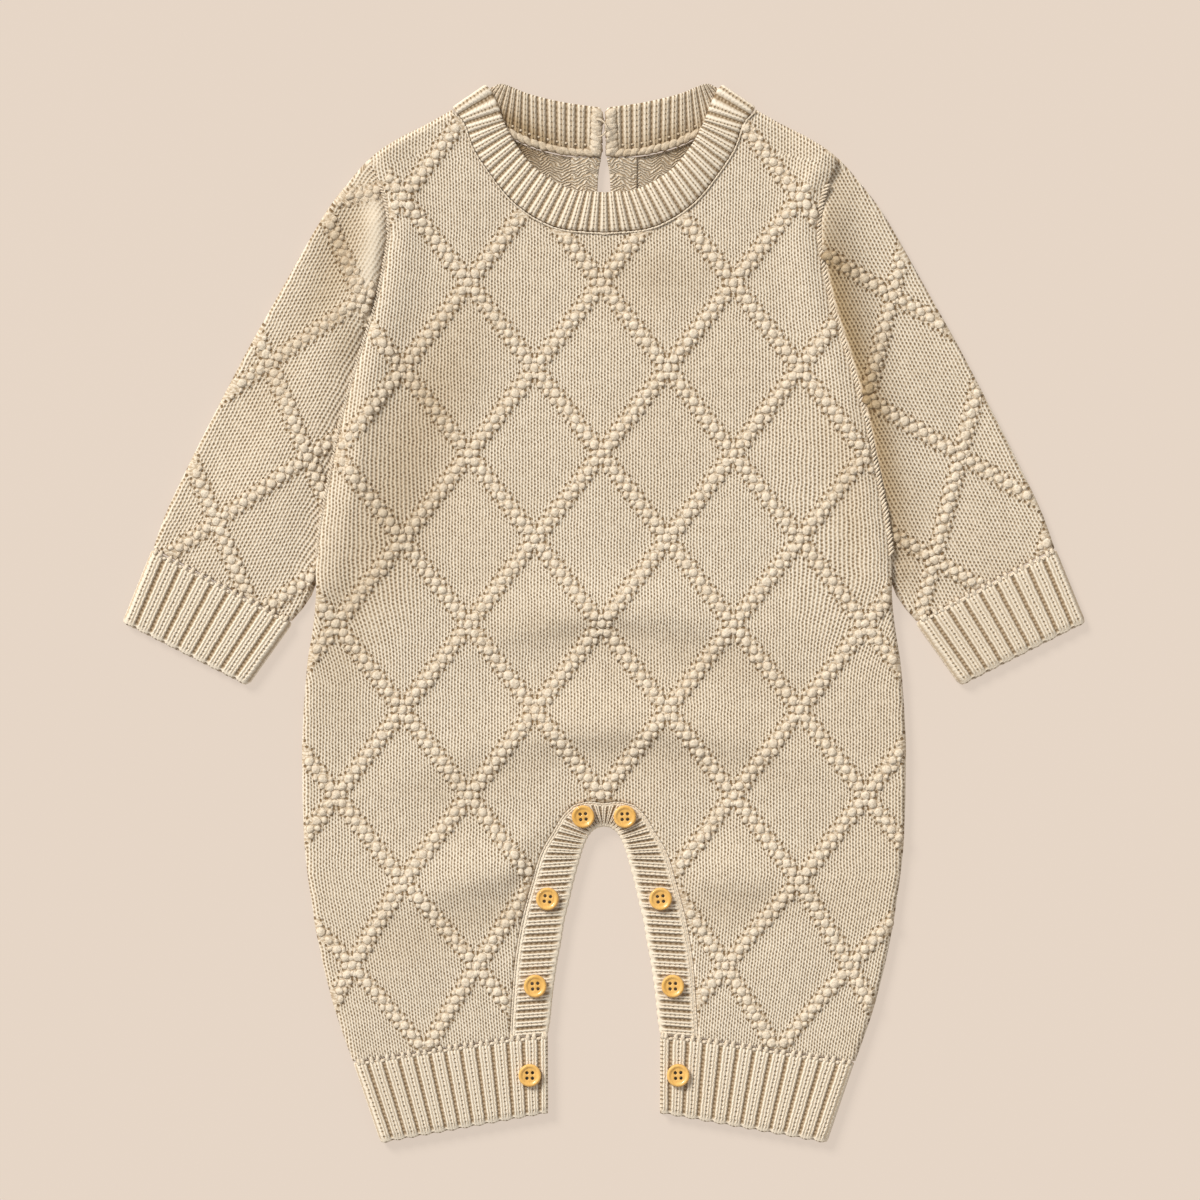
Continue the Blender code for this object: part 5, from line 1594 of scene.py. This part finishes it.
def lay_neckband(cut):
    sign = np.where(cut[:, 0] < 0, -1.0, 1.0)
    t = np.abs(cut[:, 0])
    behind = t - neck_front_reach[-1] - neck_fold
    rows = read(neck_front, neck_front_reach, t)
    rows = np.where((behind > 0)[:, None], read(neck_back, neck_back_reach, behind), rows)
    share = cut[:, 1] / NECKBAND_WIDTH
    share = (share - 0.12 * share**3 * fade(np.abs(behind + neck_fold / 2), 10.0))[:, None]
    plan = rows[:, :2] * (1 - share) + rows[:, 2:] * share
    turn = np.clip((t - neck_front_reach[-1]) / NECK_FOLD_RADIUS, 0, math.pi)
    plan = plan + np.outer(np.sin(turn) * NECK_FOLD_RADIUS, NECK_TURN)
    level = NECKBAND_KNIT / 2 + NECK_FOLD_RADIUS * (1 + np.cos(turn))
    level += NECK_STAND * share[:, 0] * (1 - fade(np.clip(behind, 0, None), 18.0)) * (behind > 0)
    level += 0.9 * np.sin(math.pi * share[:, 0]) * fade(np.clip(behind + neck_fold, 0, None), neck_fold)
    out = np.column_stack([np.outer(np.sin(turn), NECK_TURN), np.cos(turn)])
    plan[:, 0] *= sign
    out[:, 0] *= sign
    return np.column_stack([plan, level]), out


def neck_ribs_height(cut):
    wave = np.cos(math.tau * neck_rib(cut))
    rounded = np.sign(wave) * np.abs(wave) ** 0.75
    held = np.minimum(cut[:, 1], NECKBAND_WIDTH - cut[:, 1])
    return NECK_RIB_HEIGHT * (0.5 + 0.5 * rounded) * np.clip(0.25 + held / 2.0, 0, 1)


def neck_outer(cut):
    lies_down = np.clip((np.abs(cut[:, 0]) - neck_front_reach[-1]) / neck_fold, 0, 1)
    return neck_ribs_height(cut) * (1 - 0.7 * lies_down) - 0.2 * lies_down


def neck_inner(cut):
    turned = np.clip((np.abs(cut[:, 0]) - neck_front_reach[-1]) / neck_fold, 0, 1)
    return neck_ribs_height(cut) * turned


NECK_SEAM_SHADE = 0.8  # beside the seam, all along the back of the band
NECK_SEAM_SHADE_REACH = 12.0
# More of it towards both sides: places across, and how deep it is at each
NECK_SIDE_SHADE = (-54, -44, -30, -18, 18, 30, 38, 46), (1.0, 1.0, 0.5, 0, 0, 0.25, 0.25, 0)
NECK_SIDE_SHADE_REACH = 19.0


def neck_shade(cut):
    """The shade on the part of the band that lies at the back, deepest beside its seam."""
    behind = np.abs(cut[:, 0]) - neck_front_reach[-1] - neck_fold
    at_side = np.interp(lay_neckband(cut)[0][:, 0], *NECK_SIDE_SHADE)
    low = NECK_SEAM_SHADE * fade(cut[:, 1], NECK_SEAM_SHADE_REACH)
    low += at_side * fade(cut[:, 1], NECK_SIDE_SHADE_REACH)
    return np.clip(low, 0, 1) * (1 - fade(np.clip(behind + neck_fold, 0, None), neck_fold))


def neck_ribs_of(cut):
    return np.column_stack([neck_rib(cut) + 0.5, cut[:, 1] / NECK_STITCH])


neck_ribbing = ribbed_knit_material("oat neck ribbing", 0.80, 2.0, tone=1.03)
# The inside is a darker copy of the same ribbing: its lower tone is painted shade where the band lies at the back.
neck_wrong_side = ribbed_knit_material("oat neck ribbing inside", 0.84, 2.0, tone=0.86)
across_neck = np.linspace(-neck_half + EDGE_ROUND, neck_half - EDGE_ROUND, neck_ribs_half * 18 + 1)
down_neck = np.linspace(1.8, NECKBAND_WIDTH - 1.8, 10)
down_neck = np.concatenate([[EDGE_ROUND], down_neck, [NECKBAND_WIDTH - EDGE_ROUND]])
neckband = grid_wall(
    "neckband_knit", across_neck, down_neck, lay_neckband, NECKBAND_KNIT, [neck_ribbing, neck_wrong_side],
    {"ribs": neck_ribs_of}, neck_outer, neck_inner, shades=(unshaded, neck_shade),
)
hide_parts("neckband")


def neck_line(t_low, t_high, down, lift):
    """A line of points on the inside of the right half of the band, from one place along it to another."""
    t = np.linspace(t_low, t_high, 80)
    middle, out = lay_neckband(np.column_stack([t, np.full_like(t, down)]))
    return middle - out * (NECKBAND_KNIT / 2 + lift)


cord_t = np.linspace(0, neck_front_reach[-1] + neck_fold * 0.35, 90)
cord_middle, _ = lay_neckband(np.column_stack([cord_t, np.full_like(cord_t, -0.7)]))
cord_line = cord_middle * (1, 1, 0) + (0, 0, FRONT_LEVEL + BODY_KNIT / 2 + 0.35)
rope_line = neck_line(neck_folded + 6, neck_half - 3.2, 1.6, 0.3)
end_line = [neck_line(neck_half - 2.0, neck_half - 1.99, down, 0.3)[0] for down in (2.6, 7, 12, 18.2)]
end_line = np.array(end_line)
bead_line = neck_line(neck_folded + 6, neck_half - 5.0, 4.6, 0.2)
trims = []
for mirror in (1, -1):
    sides = (mirror, 1, 1)
    trims += [
        row_of(cord_line * sides, 2.0, CORD, SMALL_FORM, lean=0.12 * mirror, seed=51),
        row_of(rope_line * sides, 3.9, ROPE, LARGE_FORM, 1.0, lean=0.42 * mirror, seed=52),
        row_of(end_line * sides, 3.0, END_ROPE, LARGE_FORM, 0.2, lean=-0.75 * mirror, seed=53),
        row_of(bead_line * sides, NECK_BACK_PITCH / 2, BEAD, SMALL_FORM, seed=54),
    ]
points, faces, rise = gathered(*trims)
trim_shade = np.repeat(TRIM_SHADES * 2, [len(row[0]) for row in trims])
trim_values = {"rise": rise, "shade": trim_shade}
neck_trim = add_mesh("neckband_cord_and_rope", points, faces, [bobble_yarn], values=trim_values)


# Back slit. The back opens for a short way below the neckband. A narrow strip faces each side of the opening on the
# inside, and a thread loop is worked at the neck edge.

FACING_KNIT = 1.0
FACING_LEVEL = 3.0
FACING_FAR = 16.0
FACING_STEP = 0.8
FACING_SHADE = 0.04


def facing_relief(cut):
    return 0.18 * np.cos(math.tau * cut[:, 0] / 4.4) - 0.1


def facing_shade(cut):
    return np.full(len(cut), FACING_SHADE)


def facing_stitches(cut):
    cable = np.sin(cut[:, 1] * math.tau / 9.0) * 1.1 + np.sin(cut[:, 1] * math.tau / 5.1 + 2) * 0.4
    return np.column_stack([(cut[:, 0] + cable) / 3.0, cut[:, 1] / 2.0])


def make_facing(which, side):
    slit = smooth(BACK_SLIT[2:], 2) + (0.1, 0)
    loop = np.concatenate([[(FACING_FAR, slit[0, 1]), (FACING_FAR, slit[-1, 1])], slit[::-1]])
    fine = smooth(BACK_SLIT[2:], FACING_STEP) + (0.1, 0)
    steps = round((FACING_FAR - fine[0, 0]) / FACING_STEP)
    low = np.linspace(fine[0], (FACING_FAR, fine[0, 1]), steps)
    far = np.linspace((FACING_FAR, fine[0, 1]), (FACING_FAR, fine[-1, 1]), len(fine))
    high = np.linspace((FACING_FAR, fine[-1, 1]), fine[-1], steps)
    rim = drawn_in(joined(low, far, high, fine[::-1])[:-1], 0.4)
    cut = filled(rim, loop, FACING_STEP)

    def lay(points):
        flat = np.ones(len(points))
        return np.column_stack([points, flat * FACING_LEVEL]), np.column_stack([0 * points, flat])

    made = wall(
        f"back_facing_{which}_knit", cut, cut, lay, FACING_KNIT, [inside_knit], {"stitches": facing_stitches},
        relief=facing_relief, side=side, shades=(facing_shade, unshaded),
    )
    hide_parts(f"back_facing_{which}")


make_facing("left", -1)
make_facing("right", 1)

LOOP_FROM, LOOP_TO = (-3.6, 245.5), (-3.2, 236.8)
LOOP_REACH = 4.6
LOOP_LEVEL = 8.6
LOOP_STITCH = (0.75, 0.5, 0.5)
LOOP_SHADE = 0.2


def make_thread_loop():
    turn = np.linspace(0, math.pi, 22)
    middle = (np.array(LOOP_FROM) + LOOP_TO) / 2
    line = np.column_stack([
        middle[0] + LOOP_REACH * np.sin(turn), middle[1] + (LOOP_FROM[1] - LOOP_TO[1]) / 2 * np.cos(turn),
        LOOP_LEVEL - 0.9 * np.cos(2 * turn),
    ])
    points, faces, rise = row_of(line, 0.9, LOOP_STITCH, SMALL_FORM, 0.2, lean=0.2, seed=71)
    values = {"rise": rise, "shade": np.full(len(points), LOOP_SHADE)}
    add_mesh("thread_loop", points, faces, [bobble_yarn], values=values)


make_thread_loop()


# Crotch bands. The crotch opens from one leg cuff round to the other. A ribbed band is sewn to the front's edge and
# buttoned down over a plain band on the back's. Both are knitted crosswise and fan round the top.

ARCH = (
    (28.0, -210.9), (26.75, -204.0), (25.75, -194.0), (24.5, -184.0), (23.0, -174.0), (21.0, -164.0),
    (19.5, -154.0), (17.0, -144.0), (14.75, -134.0), (12.0, -124.0), (9.8, -116.5), (7.2, -111.0),
    (4.0, -107.9), (0, -106.8),
)
CROTCH_LEVEL = 4.5
CROTCH_RIB_HEIGHT = 0.8
CROTCH_RIBS = 65
CROTCH_LENGTH = 260.0
CROTCH_WIDTH = 16.0
CROTCH_BORDER = 2.6
BORDER_CORD = (1.2, 0.42, 0.35)
FAN = (  # shares of the outer edge, and of the inner one
    (0, 0.319, 0.376, 0.4185, 0.45, 0.5, 0.55, 0.5815, 0.624, 0.681, 1),
    (0, 0.397, 0.442, 0.470, 0.485, 0.5, 0.515, 0.530, 0.558, 0.603, 1),
)
BUTTONS = ((10.4, -102.0), (28.2, -143.0), (34.3, -186.5), (37.0, -231.0))
BUTTON_PATCH = 4.6

crotch_seam = shifted(joined(smooth(CROTCH_SEAM, 3), smooth(CROTCH_TOP, 3)), SEAM_GAP)
crotch_seam[-1] = (0, crotch_seam[-1, 1])
crotch_arch = smooth(ARCH, 3)
crotch_seam = joined(crotch_seam, crotch_seam[::-1] * (-1, 1))
crotch_arch = joined(crotch_arch, crotch_arch[::-1] * (-1, 1))


def crotch_plan(cut):
    share = cut[:, 0] / CROTCH_LENGTH
    f = (cut[:, 1] / CROTCH_WIDTH)[:, None]
    return along(crotch_seam, share) * (1 - f) + along(crotch_arch, np.interp(share, *FAN)) * f


def crotch_plain(cut):
    """1 on the plain borders and round the buttons, 0 on the ribs."""
    plan = right_half(crotch_plan(cut))
    from_button = np.min([np.hypot(*(plan - place).T) for place in BUTTONS], axis=0)
    ragged = 0.5 * np.sin(cut[:, 0] * 1.7) + 0.4 * np.sin(cut[:, 0] * 0.61 + 1)
    border = np.minimum(cut[:, 1] - 0.3, CROTCH_WIDTH - cut[:, 1]) + 0.5 * ragged
    near_button = fade(np.clip(from_button - BUTTON_PATCH, 0, None), 2.2)
    return np.maximum(near_button, fade(np.clip(border - 1.2, 0, None), 1.4))


def crotch_relief(cut):
    plain = crotch_plain(cut)
    x = np.abs((cut[:, 0] / CROTCH_LENGTH * CROTCH_RIBS) % 1 - 0.5) * 2
    ribs = CROTCH_RIB_HEIGHT * (1 - fade(1 - x, 0.42)) - 0.1 * np.exp(-((x / 0.2) ** 2))
    gather = fade(np.abs(cut[:, 0] - CROTCH_LENGTH / 2), 9.0) * fade(np.abs(cut[:, 1] - 8), 8.0)
    pleats = 0.35 * gather * np.cos((cut[:, 0] - CROTCH_LENGTH / 2) * 2.4)
    return ribs * (1 - plain) + plain * (0.45 * CROTCH_RIB_HEIGHT) + pleats * plain


def lay_crotch(level):
    def lay(cut):
        scallop = 0.22 * np.cos(math.tau * cut[:, 0] / CROTCH_LENGTH * CROTCH_RIBS)
        held = np.clip((cut[:, 1] - CROTCH_WIDTH + CROTCH_BORDER) / CROTCH_BORDER, 0, 1)
        plan = crotch_plan(cut - np.column_stack([0 * scallop, scallop * held]))
        flat = np.ones(len(cut))
        drop = 0.45 * held**2
        return np.column_stack([plan, flat * level - drop * (level > 3)]), np.column_stack([0 * plan, flat])

    return lay


def crotch_ribs_of(cut):
    return np.column_stack([cut[:, 0] / CROTCH_LENGTH * CROTCH_RIBS, cut[:, 1] / 1.9])


crotch_ribbing = ribbed_knit_material("oat crotch ribbing", 0.72, 2.0)
across_band = np.linspace(EDGE_ROUND, CROTCH_LENGTH - EDGE_ROUND, CROTCH_RIBS * 9 + 1)
down_band = np.linspace(EDGE_ROUND, CROTCH_WIDTH - EDGE_ROUND, 17)
plain_across = np.linspace(EDGE_ROUND, CROTCH_LENGTH - EDGE_ROUND, 131)
crotch_front = grid_wall(
    "crotch_band_front_knit", across_band, down_band, lay_crotch(CROTCH_LEVEL), BODY_KNIT, [crotch_ribbing],
    {"ribs": crotch_ribs_of}, crotch_relief, plain=crotch_plain,
)
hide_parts("crotch_band_front")
crotch_back = grid_wall(
    "crotch_band_back_knit", plain_across, down_band[::2], lay_crotch(BODY_KNIT / 2), BODY_KNIT, [crotch_ribbing],
    {"ribs": crotch_ribs_of},
)
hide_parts("crotch_band_back")
seam_t = np.linspace(0.5, CROTCH_LENGTH - 0.5, 300)
seam_plan = crotch_plan(np.column_stack([seam_t, 0 * seam_t + 0.2]))
border_plan = crotch_plan(np.column_stack([seam_t, 0 * seam_t + 1.5]))
seam_line = np.column_stack([seam_plan, 0 * seam_t + CROTCH_LEVEL + BODY_KNIT / 2 + 0.25])
border_line = np.column_stack([border_plan, 0 * seam_t + CROTCH_LEVEL + BODY_KNIT / 2 + 0.3])
points, faces, rise = gathered(
    row_of(seam_line, 2.0, CORD, SMALL_FORM, lean=0.12, seed=61),
    row_of(border_line, 2.0, BORDER_CORD, SMALL_FORM, 1.0, lean=-0.12, seed=62),
)
crotch_cord = add_mesh("crotch_cord", points, faces, [bobble_yarn], values={"rise": rise})


# Buttons. Four on each side of the crotch, turned from pale yellow wood and waxed, with a rounded rim round a shallow
# dish and four holes. Each stands on its band or its cuff.

BUTTON_RADIUS = 5.65
BUTTON_THICK = 2.4
BUTTON_HOLE = 0.82
BUTTON_HOLE_APART = 2.75
BUTTON_PROFILE = (  # share of the radius, and height above the dish
    (0.0, 0.08), (0.25, 0.04), (0.45, 0.0), (0.58, 0.0), (0.64, 0.05), (0.69, 0.2), (0.74, 0.42),
    (0.80, 0.58), (0.86, 0.62), (0.91, 0.56), (0.95, 0.38), (0.98, 0.12), (1.0, -0.2),
)
ON_BAND = CROTCH_LEVEL + BODY_KNIT / 2 + CROTCH_RIB_HEIGHT + SEAM_GAP
ON_CUFF = 2 * LEG_FOLD_RADIUS + CUFF_KNIT + RIB_HEIGHT + SEAM_GAP


def ring_of(radius, count, middle=(0.0, 0.0)):
    turn = np.arange(count) * math.tau / count
    return np.column_stack([middle[0] + radius * np.cos(turn), middle[1] + radius * np.sin(turn)])


def button_form():
    """Points, faces, and which faces line the holes."""
    sides, hole_sides = 56, 18
    apart = BUTTON_HOLE_APART / 2
    holes = [(i * apart, j * apart) for i in (-1, 1) for j in (-1, 1)]
    shares, heights = np.array(BUTTON_PROFILE).T
    rings = [ring_of(BUTTON_RADIUS * share, sides) for share in shares[:2:-1]]
    dish = np.concatenate([ring_of(r, c) for r, c in ((2.9, 24), (0.9, 6), (0.35, 3))])
    rims = [ring_of(BUTTON_HOLE * grow, hole_sides, hole) for grow in (1.0, 1.22) for hole in holes]
    given = np.concatenate([*rings, dish, *rims])
    cut, _, faces, _, _, _ = delaunay_2d_cdt([Vector(p) for p in given], [], [], 0, 0.001, False)
    cut = np.array([tuple(p) for p in cut])
    faces = np.array(faces)
    middles = cut[faces].mean(1)
    in_hole = np.min([np.hypot(*(middles - hole).T) for hole in holes], axis=0) < BUTTON_HOLE * 0.98
    faces = faces[~in_hole]
    radius = np.hypot(*cut.T) / BUTTON_RADIUS
    from_hole = np.min([np.hypot(*(cut - hole).T) for hole in holes], axis=0) / BUTTON_HOLE
    top = BUTTON_THICK - 0.62 + np.interp(radius, shares, heights) - 0.12 * fade(from_hole - 1, 0.3)
    bottom = 0.45 * np.clip((radius - 0.9) / 0.1, 0, 1) ** 2
    count = len(cut)
    points = np.concatenate([np.column_stack([cut, top]), np.column_stack([cut, bottom])])
    edges = np.concatenate([faces[:, [0, 1]], faces[:, [1, 2]], faces[:, [2, 0]]])
    known = {tuple(edge) for edge in edges}
    rim = [edge for edge in known if edge[::-1] not in known]
    walls = [(b, a, a + count, b + count) for a, b in rim]
    lining = [from_hole[a] < 1.05 for a, b in rim]
    outside = [face for face, inner in zip(walls, lining) if not inner]
    inside_faces = [face for face, inner in zip(walls, lining) if inner]
    plain = [*map(tuple, faces), *map(tuple, faces[:, ::-1] + count), *outside]
    return points, plain, inside_faces


def wood_material():
    material, graph, shader = new_material("waxed yellow wood", 0.42)
    shader.inputs["Coat Weight"].default_value = 0.25
    stretch = graph.add("Mapping")
    graph.feed(stretch.inputs["Vector"], graph.place())
    stretch.inputs["Scale"].default_value = (1.0, 0.16, 1.0)
    stretch.inputs["Rotation"].default_value = (0.0, 0.0, 0.5)
    grain = graph.noise(stretch.outputs[0], 1500.0, detail=3.0)
    broad = graph.noise(stretch.outputs[0], 260.0, detail=1.0)
    tone = graph.blend(graph.step(broad, 0.3, 0.7), (0.80, 0.44, 0.10, 1), (0.90, 0.53, 0.15, 1))
    tone = graph.blend(graph.step(grain, 0.4, 0.7, 0.0, 0.35), tone, (0.62, 0.30, 0.055, 1))
    graph.feed(shader.inputs["Base Color"], tone)
    bumped(graph, shader, grain, 0.04)
    return material


# The lining of the holes is near-black: painted shade inside the holes of the buttons.
def shaded_hole_material():
    material, graph, shader = new_material("painted shade in the button holes", 0.8, specular=0.05)
    tone = graph.blend(graph.noise(graph.place(), 900.0), (0.02, 0.011, 0.005, 1), (0.05, 0.026, 0.01, 1))
    graph.feed(shader.inputs["Base Color"], tone)
    return material


def make_button(name, x, y, level, turn):
    points, plain, lining = BUTTON_FORM
    cos, sin = math.cos(turn), math.sin(turn)
    a, b, height = points.T
    placed = np.column_stack([a * cos - b * sin + x, a * sin + b * cos + y, height + level])
    faces = [*plain, *lining]
    materials = [button_wood, hole_lining_shade]
    made = add_mesh(f"{name}_wood", placed, faces, materials, inner_faces=(len(plain), len(faces)))
    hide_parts(name)


BUTTON_FORM = button_form()
button_wood, hole_lining_shade = wood_material(), shaded_hole_material()
BUTTON_TURNS = ((0.1, -0.15, 0.06, 0.0), (0.04, 0.12, 0.0, 0.05))
for which, side, turns in (("left", -1, BUTTON_TURNS[0]), ("right", 1, BUTTON_TURNS[1])):
    for row, ((x, y), turn) in enumerate(zip(BUTTONS, turns), 1):
        make_button(f"button_{which}_{row}", side * x, y, ON_CUFF if row == len(BUTTONS) else ON_BAND, turn)
